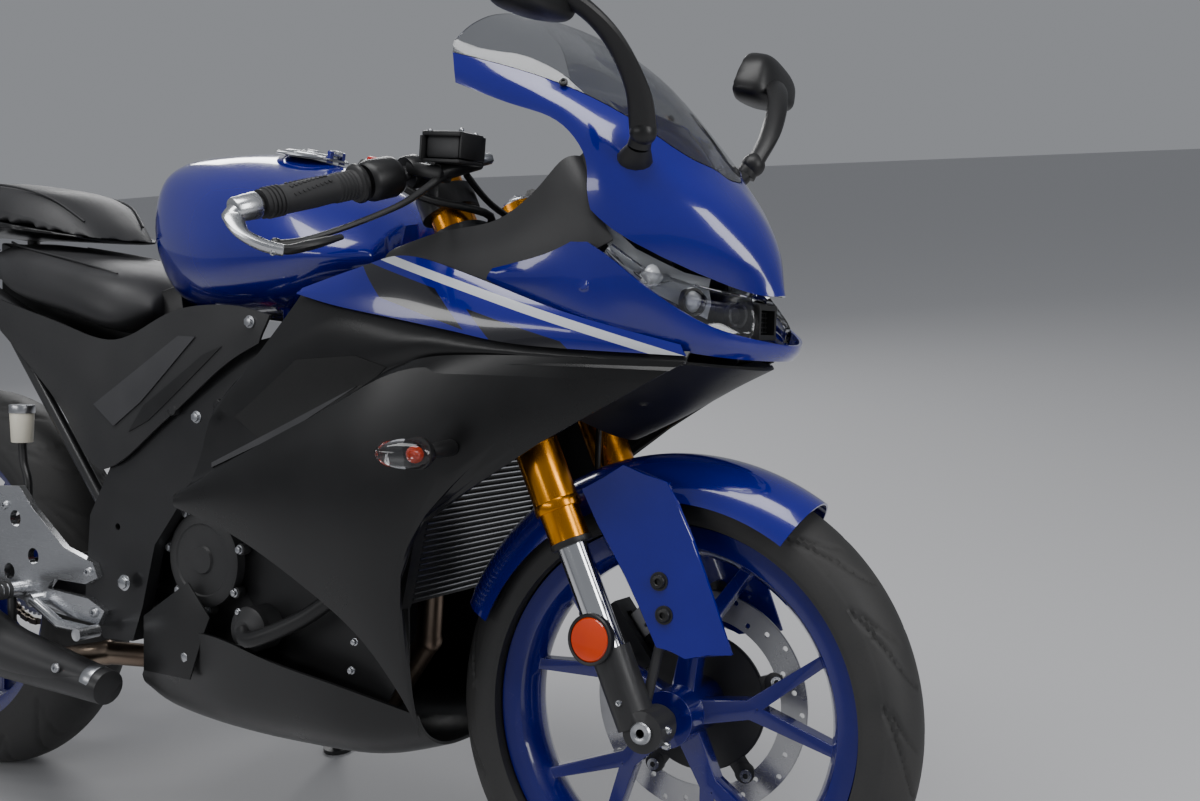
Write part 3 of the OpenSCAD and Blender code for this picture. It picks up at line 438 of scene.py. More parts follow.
REFLECTOR = Finish("lamp reflector", "bright_steel", (0.86, 0.88, 0.9), (0.72, 0.74, 0.77), (0.08, 0.18),
                   metallic=0.3, grain=150, bump=0.01, scratches=0.0)
AMBER = Finish("orange lens", "indicator_lens", (0.75, 0.055, 0.002), (0.6, 0.035, 0.001), (0.12, 0.2),
               coat=0.6, grain=300, bump=0.02, scratches=0.0)
RED = Finish("red lens", "tail_red", (0.5, 0.008, 0.008), (0.38, 0.005, 0.005), (0.1, 0.18), coat=0.8,
             grain=300, bump=0.02, scratches=0.0)
CHROME = Finish("hard chrome", "bright_steel", (0.75, 0.76, 0.78), (0.68, 0.69, 0.71), (0.06, 0.12),
                metallic=1.0, grain=900, bump=0.004, scratches=0.03)
ZINC = Finish("zinc plated steel", "bright_steel", (0.55, 0.56, 0.58), (0.42, 0.43, 0.45), (0.22, 0.36),
              metallic=1.0, grain=700, bump=0.03)
ALLOY = Finish("polished alloy", "silver_alloy", (0.68, 0.69, 0.71), (0.6, 0.61, 0.63), (0.2, 0.3),
               metallic=1.0, grain=300, bump=0.04, stretch=(1, 6, 6))
GOLD = Finish("gold anodising", "gold_anodised", (0.75, 0.30, 0.018), (0.62, 0.23, 0.012), (0.2, 0.28),
              metallic=1.0, grain=500, bump=0.01, stretch=(6, 6, 1), scratches=0.03)
STEEL = Finish("brushed disc steel", "brake_steel", (0.56, 0.56, 0.57), (0.44, 0.44, 0.45), (0.24, 0.38),
               metallic=1.0, grain=900, bump=0.02)
PIPE = Finish("heat tinted steel", "exhaust_steel", (0.28, 0.22, 0.17), (0.18, 0.13, 0.10), (0.3, 0.45),
              metallic=1.0, grain=300, bump=0.03)
EXHAUST = Finish("black exhaust enamel", "exhaust_black", (0.016, 0.016, 0.017), (0.026, 0.026, 0.027),
                 (0.32, 0.46), grain=600, bump=0.05)
CHAIN = Finish("oiled chain", "chain_steel", (0.20, 0.17, 0.13), (0.12, 0.10, 0.08), (0.3, 0.5),
               metallic=1.0, grain=300, bump=0.05)
GRIP = Finish("grip rubber", "grip_rubber", (0.022, 0.022, 0.023), (0.032, 0.032, 0.033), (0.6, 0.75),
              grain=1500, bump=0.05)
TYRE = Finish("tyre rubber", "tyre_rubber", (0.022, 0.022, 0.022), (0.034, 0.033, 0.032), (0.55, 0.72),
              grain=1100, bump=0.06)
SPRING = Finish("red spring enamel", "black_frame", (0.45, 0.01, 0.01), (0.38, 0.008, 0.008), (0.2, 0.3),
                coat=0.6, grain=800, bump=0.02)
SWITCH_RED = Finish("red switch", "black_plastic", (0.55, 0.012, 0.01), (0.48, 0.01, 0.01), (0.3, 0.4),
                    grain=900, bump=0.02)
FLUID = Finish("translucent tank", "lamp_clear", (0.75, 0.72, 0.6), (0.7, 0.66, 0.55), (0.3, 0.4),
               grain=300, bump=0.03)
PANE = Finish("mirror glass", "bright_steel", (0.82, 0.83, 0.85), (0.8, 0.81, 0.83), (0.01, 0.02),
              metallic=1.0, grain=100, bump=0.0, scratches=0.0)
DISPLAY = Finish("display glass", "black_plastic", (0.02, 0.022, 0.025), (0.03, 0.033, 0.036), (0.08, 0.12),
                 coat=0.8, grain=100, bump=0.0, scratches=0.0)


# ---- Modelling ----


def aim(a: Point, b: Point) -> Matrix:
    """Matrix that puts a shape drawn along Z, centred, between two points.

    Args:
        a: one end.
        b: other end.

    Returns:
        The matrix, with Z towards b.
    """
    a, b = Vector(a), Vector(b)
    turn = (b - a).to_track_quat("Z", "Y").to_matrix().to_4x4()
    return Matrix.Translation((a + b) / 2) @ turn


def rounded(points: Sequence[Point], steps: int) -> list[Vector]:
    """Smooth curve through some points.

    Args:
        points: the points.
        steps: pieces between two of them.

    Returns:
        The points of the curve.
    """
    p = [Vector(q) for q in points]
    made = []
    for i in range(len(p) - 1):
        a, b, c, d = p[max(i - 1, 0)], p[i], p[i + 1], p[min(i + 2, len(p) - 1)]
        for k in range(steps):
            t = k / steps
            made.append(0.5 * (2 * b + (c - a) * t + (2 * a - 5 * b + 4 * c - d) * t * t
                               + (3 * b - a - 3 * c + d) * t ** 3))
    return made + [p[-1]]


class Shape:
    """A mesh being modelled, in millimetres."""

    def __init__(self) -> None:
        """Starts empty."""
        self.bm = bmesh.new()

    def _soften(self, verts: Iterable[bmesh.types.BMVert], width: float, segments: int) -> None:
        """Bevels the sharp edges among some vertices."""
        if width <= 0:
            return
        inside = set(verts)
        edges = [e for e in {e for v in inside for e in v.link_edges}
                 if e.verts[0] in inside and e.verts[1] in inside
                 and len(e.link_faces) == 2 and e.calc_face_angle(0) > SHARP]
        bmesh.ops.bevel(self.bm, geom=edges, offset=width, segments=segments, profile=0.5,
                        affect="EDGES", material=-1, clamp_overlap=True)

    def box(self, centre: Point, size: Point, turn: Point = (0, 0, 0), bevel: float = 1.5) -> Shape:
        """Adds a box.

        Args:
            centre: its centre.
            size: its sides.
            turn: rotation about X, Y and Z, degrees.
            bevel: rounding of its edges.

        Returns:
            The shape.
        """
        matrix = Matrix.Translation(centre)
        for angle, axis in zip(turn, "XYZ"):
            matrix = matrix @ Matrix.Rotation(math.radians(angle), 4, axis)
        matrix = matrix @ Matrix.Diagonal((*size, 1))
        made = bmesh.ops.create_cube(self.bm, size=1, matrix=matrix)
        self._soften(made["verts"], bevel, 2)
        return self

    def rod(self, a: Point, b: Point, r: float, r2: float | None = None, sides: int = 32,
            bevel: float = 0.6) -> Shape:
        """Adds a round, or many-sided, bar.

        Args:
            a: one end.
            b: other end.
            r: radius at a.
            r2: radius at b, when it differs.
            sides: number of sides.
            bevel: rounding of its end edges.

        Returns:
            The shape.
        """
        length = (Vector(b) - Vector(a)).length
        made = bmesh.ops.create_cone(self.bm, cap_ends=True, segments=sides, radius1=r,
                                     radius2=r if r2 is None else r2, depth=length, matrix=aim(a, b))
        self._soften(made["verts"], bevel, 2)
        return self

    def ball(self, centre: Point, r: float, scale: Point = (1, 1, 1), turn: Matrix | None = None) -> Shape:
        """Adds a ball.

        Args:
            centre: its centre.
            r: its radius.
            scale: how it is stretched.
            turn: optional rotation.

        Returns:
            The shape.
        """
        matrix = Matrix.Translation(centre) @ (turn or Matrix()) @ Matrix.Diagonal((*scale, 1))
        bmesh.ops.create_uvsphere(self.bm, u_segments=28, v_segments=16, radius=r, matrix=matrix)
        return self

    def spun(self, profile: Sequence[tuple[float, float]], centre: Point, axis: Point, steps: int = 48,
             closed: bool = False) -> Shape:
        """Adds a turned shape.

        Args:
            profile: (radius, distance along the axis) pairs.
            centre: point on the axis.
            axis: direction of the axis.
            steps: number of facets round it.
            closed: whether the profile joins its own start.

        Returns:
            The shape.
        """
        matrix = aim(centre, Vector(centre) + 2 * Vector(axis).normalized())
        matrix = Matrix.Translation(Vector(centre)) @ matrix.to_3x3().to_4x4()
        verts = [self.bm.verts.new(matrix @ Vector((r, 0, h))) for r, h in profile]
        ends = len(verts) if closed else len(verts) - 1
        edges = [self.bm.edges.new((verts[k], verts[(k + 1) % len(verts)])) for k in range(ends)]
        way = matrix.to_3x3() @ Vector((0, 0, 1))
        bmesh.ops.spin(self.bm, geom=verts + edges, cent=centre, axis=way, dvec=(0, 0, 0), angle=2 * math.pi,
                       steps=steps, use_merge=True, use_duplicate=False)
        bmesh.ops.remove_doubles(self.bm, verts=self.bm.verts, dist=0.001)
        return self

    def prism(self, outline: Sequence[tuple[float, float]], low: float, high: float,
              bevel: float = 1.0) -> Shape:
        """Adds a plate with an outline in X and Z.

        Args:
            outline: its corners.
            low: lower Y.
            high: upper Y.
            bevel: rounding of its edges.

        Returns:
            The shape.
        """
        verts = [self.bm.verts.new((x, low, z)) for x, z in outline]
        face = self.bm.faces.new(verts)
        made = bmesh.ops.extrude_face_region(self.bm, geom=[face])
        new = [g for g in made["geom"] if isinstance(g, bmesh.types.BMVert)]
        bmesh.ops.translate(self.bm, verts=new, vec=(0, high - low, 0))
        bmesh.ops.recalc_face_normals(self.bm, faces=list({f for v in verts + new for f in v.link_faces}))
        self._soften(verts + new, bevel, 2)
        return self

    def bolt(self, at: Point, way: Point, r: float = 6.0, tall: float = 4.0, hexagon: bool = False) -> Shape:
        """Adds a bolt head with a hexagon socket.

        Args:
            at: where its underside is.
            way: direction out of the surface.
            r: head radius.
            tall: head height.
            hexagon: whether the head is a hexagon with a flange.

        Returns:
            The shape.
        """
        at, way = Vector(at), Vector(way).normalized()
        if hexagon:
            self.rod(at - way, at + 0.3 * tall * way, r * 1.25, sides=24, bevel=0.3)
            self.rod(at, at + tall * way, r, sides=6, bevel=0.7)
            return self
        profile = [(0.45 * r, -1.0), (r, -1.0), (r, 0.45 * tall), (0.85 * r, 0.85 * tall), (0.5 * r, tall),
                   (0.42 * r, 0.9 * tall), (0.42 * r, 0.3 * tall), (0.0, 0.25 * tall)]
        return self.spun(profile, at, way, steps=18)

    def tube(self, points: Sequence[Point], r: float, steps: int = 6, sides: int = 14,
             radii: Sequence[float] | None = None, flat: float = 1.0) -> Shape:
        """Adds a bent rod or hose through some points.

        Args:
            points: the points it passes.
            r: its radius.
            steps: pieces between two points.
            sides: sides round it.
            radii: radius as a share of r at each point.
            flat: its thickness as a share of its width.

        Returns:
            The shape.
        """
        path = rounded(points, steps)
        sizes = [1.0] * len(path)
        if radii:
            spread = rounded([(v, 0, 0) for v in radii], steps)
            sizes = [v.x for v in spread]
        rings = []
        for k, point in enumerate(path):
            ahead = (path[min(k + 1, len(path) - 1)] - path[max(k - 1, 0)]).normalized()
            turn = ahead.to_track_quat("Z", "Y").to_matrix().to_4x4()
            matrix = Matrix.Translation(point) @ turn @ Matrix.Diagonal((sizes[k], sizes[k] * flat, 1, 1))
            made = bmesh.ops.create_circle(self.bm, cap_ends=False, segments=sides, radius=r, matrix=matrix)
            ring = made["verts"]
            edges = list({e for v in ring for e in v.link_edges if e.other_vert(v) in ring})
            if rings:
                bmesh.ops.bridge_loops(self.bm, edges=rings[-1][1] + edges)
            rings.append((ring, edges))
        for ring, edges in (rings[0], rings[-1]):
            bmesh.ops.holes_fill(self.bm, edges=edges, sides=0)
        return self

    def both_sides(self) -> Shape:
        """Adds the mirror image across the machine's centre plane."""
        made = bmesh.ops.duplicate(self.bm, geom=self.bm.verts[:] + self.bm.edges[:] + self.bm.faces[:])
        verts = [g for g in made["geom"] if isinstance(g, bmesh.types.BMVert)]
        bmesh.ops.scale(self.bm, vec=(1, -1, 1), verts=verts)
        faces = [g for g in made["geom"] if isinstance(g, bmesh.types.BMFace)]
        bmesh.ops.reverse_faces(self.bm, faces=faces)
        return self

    def piece(self, name: str, body: Body, finish: Finish,
              stands_for: Sequence[str] = ()) -> bpy.types.Object:
        """Makes the finished object.

        Args:
            name: its name.
            body: the body it moves with.
            finish: its finish.
            stands_for: CAD nodes that it replaces.

        Returns:
            The object.
        """
        bmesh.ops.recalc_face_normals(self.bm, faces=self.bm.faces)
        bmesh.ops.transform(self.bm, matrix=body.place.matrix(), verts=self.bm.verts)
        mesh = bpy.data.meshes.new(name)
        self.bm.to_mesh(mesh)
        self.bm.free()
        obj = bpy.data.objects.new(name, mesh)
        bpy.context.scene.collection.objects.link(obj)
        return dressed(obj, body, finish, stands_for)


def dressed(obj: bpy.types.Object, body: Body, finish: Finish,
            stands_for: Sequence[str] = ()) -> bpy.types.Object:
    """Gives a piece its material, shading and body.

    Args:
        obj: the piece.
        body: the body it moves with.
        finish: its finish.
        stands_for: CAD nodes that it replaces.

    Returns:
        The piece.
    """
    obj.data.materials.clear()
    obj.data.materials.append(finish.material())
    obj.data.shade_smooth()
    obj.data.set_sharp_from_angle(angle=SHARP)
    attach(obj, body.value)
    if stands_for:
        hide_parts(*stands_for)
    LOG.info("%s: %d faces", obj.name, len(obj.data.polygons))
    return obj


class Kit:
    """What every sub-assembly needs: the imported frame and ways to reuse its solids."""

    def __init__(self, frame: dict) -> None:
        """Keeps the frame.
        """
        self.nodes = frame["nodes"]

    def body(self, node: str) -> Body:
        """Body that a CAD node is on."""
        return Body(self.nodes[node]["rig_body"])

    def dress(self, node: str, finish: Finish) -> None:
        """Gives a CAD node a finish, as it is."""
        obj = self.nodes[node]
        obj.data.materials.clear()
        obj.data.materials.append(finish.material())

    def refined(self, node: str, finish: Finish, levels: int = 1, crease: float = 0.85, sharp: float = 32.0,
                bevel: float = 0.0, corner: float = 24.0) -> bpy.types.Object:
        """Makes a smooth, finished copy of a CAD node.

        Args:
            node: the CAD node.
            finish: its finish.
            levels: subdivision levels, or none.
            crease: how sharp its edges stay when subdivided.
            sharp: angle in degrees past which an edge counts as sharp.
            bevel: rounding of its sharp edges in millimetres, used when it isn't subdivided.
            corner: turn in degrees past which a bend of a sharp edge stays a corner.

        Returns:
            The copy.
        """
        mesh = self.nodes[node].data.copy()
        bm = bmesh.new()
        bm.from_mesh(mesh)
        bmesh.ops.remove_doubles(bm, verts=bm.verts, dist=1e-5)
        bmesh.ops.join_triangles(bm, faces=bm.faces, angle_face_threshold=math.radians(30),
                                 angle_shape_threshold=math.radians(60))
        if levels:
            layer = bm.edges.layers.float.new("crease_edge")
            points = bm.verts.layers.float.new("crease_vert")
            for edge in bm.edges:
                if len(edge.link_faces) == 2 and edge.calc_face_angle(0) > math.radians(sharp):
                    edge[layer] = crease
            for vert in bm.verts:
                ways = [(edge.other_vert(vert).co - vert.co).normalized() for edge in vert.link_edges
                        if edge[layer] > 0]
                bent = len(ways) == 2 and ways[0].dot(ways[1]) > -math.cos(math.radians(corner))
                if bent or len(ways) > 2:
                    vert[points] = 1.0
        bm.to_mesh(mesh)
        bm.free()
        obj = bpy.data.objects.new(node + "_finished", mesh)
        bpy.context.scene.collection.objects.link(obj)
        dressed(obj, self.body(node), finish, [node])
        if levels:
            smooth = obj.modifiers.new("smooth", "SUBSURF")
            smooth.levels = smooth.render_levels = levels
        elif bevel:
            edge = obj.modifiers.new("edges", "BEVEL")
            edge.width, edge.segments, edge.limit_method = bevel * MM, 2, "ANGLE"
            edge.angle_limit = SHARP
            edge.harden_normals = False
        return obj

    def bevelled(self, node: str, finish: Finish, bevel: float) -> bpy.types.Object:
        """Makes a finished copy of a CAD node with rounded edges.

        Args:
            node: the CAD node.
            finish: its finish.
            bevel: rounding of its sharp edges in millimetres, or 0 for none.

        Returns:
            The copy.
        """
        return self.refined(node, finish, levels=0, bevel=bevel)

    def patch(self, name: str, node: str, outline: Sequence[tuple[float, float]], finish: Finish,
              lift: float = 1.4, pitch: float = 9.0) -> None:
        """Makes a thin panel that lies on both sides of a CAD node.

        Args:
            name: the piece's name.
            node: the CAD node that it lies on.
            outline: corners of its convex outline, in X and Z.
            finish: its finish.
            lift: how far it stands off the node, in millimetres.
            pitch: size of its faces.
        """
        under = bmesh.new()
        under.from_mesh(self.nodes[node].data)
        bmesh.ops.transform(under, matrix=Place.LEANED.matrix().inverted(), verts=under.verts)
        tree = BVHTree.FromBMesh(under)
        under.free()
        shape = Shape()
        corners = [Vector((x, 0, z)) for x, z in outline]
        centre = sum(corners, Vector()) / len(corners)
        reach = max((corner - centre).length for corner in corners)
        cells = max(4, int(2 * reach / pitch))
        lay = Matrix.Translation(centre) @ Matrix.Rotation(math.pi / 2, 4, "X")
        bmesh.ops.create_grid(shape.bm, x_segments=cells, y_segments=cells, size=reach, matrix=lay)
        for a, b in zip(corners, corners[1:] + corners[:1]):
            out = (b - a).cross(Vector((0, 1, 0)))
            if out.dot(a - centre) < 0:
                out.negate()
            bmesh.ops.bisect_plane(shape.bm, geom=shape.bm.verts[:] + shape.bm.edges[:] + shape.bm.faces[:],
                                   plane_co=a, plane_no=out, clear_outer=True)
        missed = []
        for vert in shape.bm.verts:
            hit = tree.ray_cast((vert.co.x, OUTSIDE, vert.co.z), (0, -1, 0))[0]
            if hit is None or hit.y < INBOARD:
                missed.append(vert)
            else:
                vert.co.y = hit.y + lift
        bmesh.ops.delete(shape.bm, geom=missed, context="VERTS")
        bmesh.ops.recalc_face_normals(shape.bm, faces=shape.bm.faces)
        bmesh.ops.solidify(shape.bm, geom=shape.bm.faces[:], thickness=1.0)
        shape.both_sides().piece(name, Body.ROOT, finish)


# ---- Sub-assemblies ----


@dataclass
class Wheel:
    """A wheel with its tyre, rim and brake disc.

    Args:
        kit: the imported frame.
        end: front or rear.
        body: the body it is on.
        centre: its centre.
        tyre_r: radius over the tread.
        tyre_w: width of the tyre.
        rim_w: width of the rim.
        disc_y: sideways place of the brake disc.
        disc_r: radius of the brake disc.
        bead_r: radius where the tyre's bead sits.
        flange: height of the rim's flange.
        groove: depth of the tread's grooves.
        pitches: repeats of the tread round the tyre.
        disc_band: width of the disc's braking face.
        disc_half: half of the disc's thickness.
        drills: number of holes in the disc.
        drill_r: radius of those holes.
    """

    kit: Kit
    end: str
    body: Body
    centre: tuple[float, float, float]
    tyre_r: float
    tyre_w: float
    rim_w: float
    disc_y: float
    disc_r: float
    bead_r: float = 217.0
    flange: float = 13.0
    groove: float = 3.2
    pitches: int = 15
    disc_band: float = 34.0
    disc_half: float = 2.0
    drills: int = 30
    drill_r: float = 3.4

    def build(self) -> None:
        """Makes the wheel's pieces."""
        self.tyre()
        self.kit.bevelled(f"{self.end}_rim", RIM_BLUE, 2.2)
        self.disc()
        self.valve()

    def profile(self) -> list[tuple[float, float]]:
        """Cross-section of the tyre as (radius, distance from the middle), from bead to bead."""
        half = self.tyre_w / 2
        middle = self.tyre_r - half
        lip = self.bead_r + self.flange + 3
        last = math.acos((lip - middle) / half)
        arc = [(middle + half * math.cos(last * k / 26), half * math.sin(last * k / 26)) for k in range(27)]
        seat = self.rim_w / 2
        side = arc[1:] + [(lip - 1, seat + 3.5), (lip + 1.5, seat - 2), (lip + 4, seat - 12)]
        return [(r, -y) for r, y in reversed(side)] + [arc[0]] + side

    def tread_depth(self, angle: np.ndarray, reach: np.ndarray) -> np.ndarray:
        """How deep the tread is cut at each point.

        Args:
            angle: place round the tyre, in radians.
            reach: distance from the middle over the crown, in millimetres.

        Returns:
            Depths from 0 to 1.
        """
        pitch = 2 * math.pi / self.pitches
        side = np.sign(reach)
        turned = (angle + np.where(side > 0, 0, pitch / 2)) % pitch
        along = turned * self.tyre_r
        span = pitch * self.tyre_r
        out = np.abs(reach)
        depth = np.zeros_like(out)
        for start, bend, low, high, width in ((0.05, 0.95, 7, 0.92, 2.3), (0.5, 0.42, 17, 0.8, 1.9)):
            edge = high * self.tyre_w * 0.68
            t = np.clip((out - low) / (edge - low), 0, 1)
            middle = span * start + span * bend * (t ** 1.7)
            slope = np.hypot(1, 1.7 * span * bend * t ** 0.7 / (edge - low))
            for lap in (-1, 0, 1):
                gap = np.abs(along - middle + lap * span) / slope
                inside = (out > low) & (out < edge)
                near = np.clip(1.25 - gap / width, 0, 1) * inside * np.clip((out - low) / 3, 0, 1)
                near = near * np.clip((edge - out) / 3, 0, 1)
                depth = np.maximum(depth, near)
        return depth

    def tyre(self) -> None:
        """Makes the tyre, with its tread cut into the crown and rings on its side walls."""
        shape = Shape()
        ring = self.profile()
        steps = 450 if self.end == "front" else 330
        shape.spun(ring, self.centre, (0, 1, 0), steps=steps)
        half = self.tyre_w / 2
        middle = self.tyre_r - half
        verts = list(shape.bm.verts)
        co = np.array([v.co for v in verts]) - np.array(self.centre)
        radius = np.hypot(co[:, 0], co[:, 2])
        angle = np.arctan2(co[:, 2], co[:, 0])
        across = np.arctan2(co[:, 1], radius - middle) * half
        sunk = self.groove * self.tread_depth(angle, across)
        wall = (np.abs(across) > half * 1.18) & (radius > self.bead_r + self.flange + 8)
        rings = 0.7 * (np.sin(radius * 0.9) > 0.55) * wall
        out = radius - middle
        inward = np.stack([co[:, 0] / radius * out, co[:, 1], co[:, 2] / radius * out], 1)
        inward /= np.linalg.norm(inward, axis=1)[:, None] + 1e-9
        moved = co + np.array(self.centre) - inward * (sunk - rings)[:, None]
        for vert, place in zip(verts, moved):
            vert.co = place
        shape.piece(f"{self.end}_tyre_tread", self.body, TYRE, [f"{self.end}_tyre"])

    def disc(self) -> None:
        """Makes the drilled brake disc, its carrier and its bobbins."""
        x, _, z = self.centre
        way = 1 if self.disc_y > 0 else -1
        y = self.disc_y
        thick = self.disc_half
        inner = self.disc_r - self.disc_band
        rotor = Shape()
        rotor.spun([(inner, -thick), (self.disc_r - 0.5, -thick), (self.disc_r, -thick + 0.5),
                    (self.disc_r, thick - 0.5), (self.disc_r - 0.5, thick), (inner, thick)],
                   (x, y, z), (0, 1, 0), steps=120, closed=True)
        plate = rotor.piece(f"{self.end}_disc_rotor", self.body, STEEL, [f"{self.end}_disc"])
        drill = Shape()
        for k in range(self.drills):
            angle = 2 * math.pi * k / self.drills
            r = self.disc_r - 7 - (k % 3) * 8.5
            px, pz = x + r * math.cos(angle), z + r * math.sin(angle)
            drill.rod((px, y - 6, pz), (px, y + 6, pz), self.drill_r, sides=14, bevel=0)
        cut(plate, drill, self.body)
        carrier = Shape()
        carrier.spun([(30, -3), (inner - 22, -3), (inner - 20, -1), (inner - 20, 3), (30, 3)],
                     (x, y, z), (0, 1, 0), steps=80, closed=True)
        for k in range(5):
            a = math.radians(72 * k + 20)
            rim = Vector((x + (inner - 4) * math.cos(a), y, z + (inner - 4) * math.sin(a)))
            base = Vector((x + (inner - 30) * math.cos(a), y, z + (inner - 30) * math.sin(a)))
            carrier.box((rim + base) / 2, (34, 5, 24), (0, -math.degrees(a), 0), bevel=2)
            carrier.rod(rim - Vector((0, 3, 0)), rim + Vector((0, 3, 0)), 13, sides=24)
        carrier.piece(f"{self.end}_disc_carrier", self.body, CASTING)
        bobbins = Shape()
        for k in range(5):
            a = math.radians(72 * k + 20)
            at = Vector((x + inner * math.cos(a), y, z + inner * math.sin(a)))
            for s in (-1, 1):
                bobbins.spun([(3.4, 2), (3.4, 4.6), (7.4, 4.6), (8.2, 3.8), (8.2, 2)],
                             at, (0, s, 0), 20, True)
            bolt = Vector((x + 42 * math.cos(a), y + 3 * way, z + 42 * math.sin(a)))
            bobbins.bolt(bolt, (0, way, 0), 6, 5)
        bobbins.piece(f"{self.end}_disc_bobbins", self.body, ZINC)

    def valve(self) -> None:
        """Makes the valve."""
        x, _, z = self.centre
        shape = Shape()
        shape.rod((x, 0, z + self.bead_r - 20), (x, 6, z + self.bead_r - 52), 3.5)
        shape.rod((x, 6, z + self.bead_r - 50), (x, 8, z + self.bead_r - 60), 4.6, sides=12)
        shape.piece(f"{self.end}_valve", self.body, BLACK)


def cut(obj: bpy.types.Object, tool: Shape, body: Body) -> None:
    """Cuts a shape out of a piece for good.

    Args:
        obj: the piece.
        tool: what is cut away.
        body: the body that gives the tool its place.
    """
    bmesh.ops.recalc_face_normals(tool.bm, faces=tool.bm.faces)
    bmesh.ops.transform(tool.bm, matrix=body.place.matrix(), verts=tool.bm.verts)
    mesh = bpy.data.meshes.new("tool")
    tool.bm.to_mesh(mesh)
    tool.bm.free()
    helper = bpy.data.objects.new("tool", mesh)
    bpy.context.scene.collection.objects.link(helper)
    change = obj.modifiers.new("cut", "BOOLEAN")
    change.object, change.operation, change.solver = helper, "DIFFERENCE", "EXACT"
    bpy.context.view_layer.update()
    seen = obj.evaluated_get(bpy.context.evaluated_depsgraph_get())
    made = bpy.data.meshes.new_from_object(seen)
    obj.modifiers.clear()
    obj.data = made
    obj.data.shade_smooth()
    obj.data.set_sharp_from_angle(angle=SHARP)
    bpy.data.objects.remove(helper)
    bpy.data.meshes.remove(mesh)


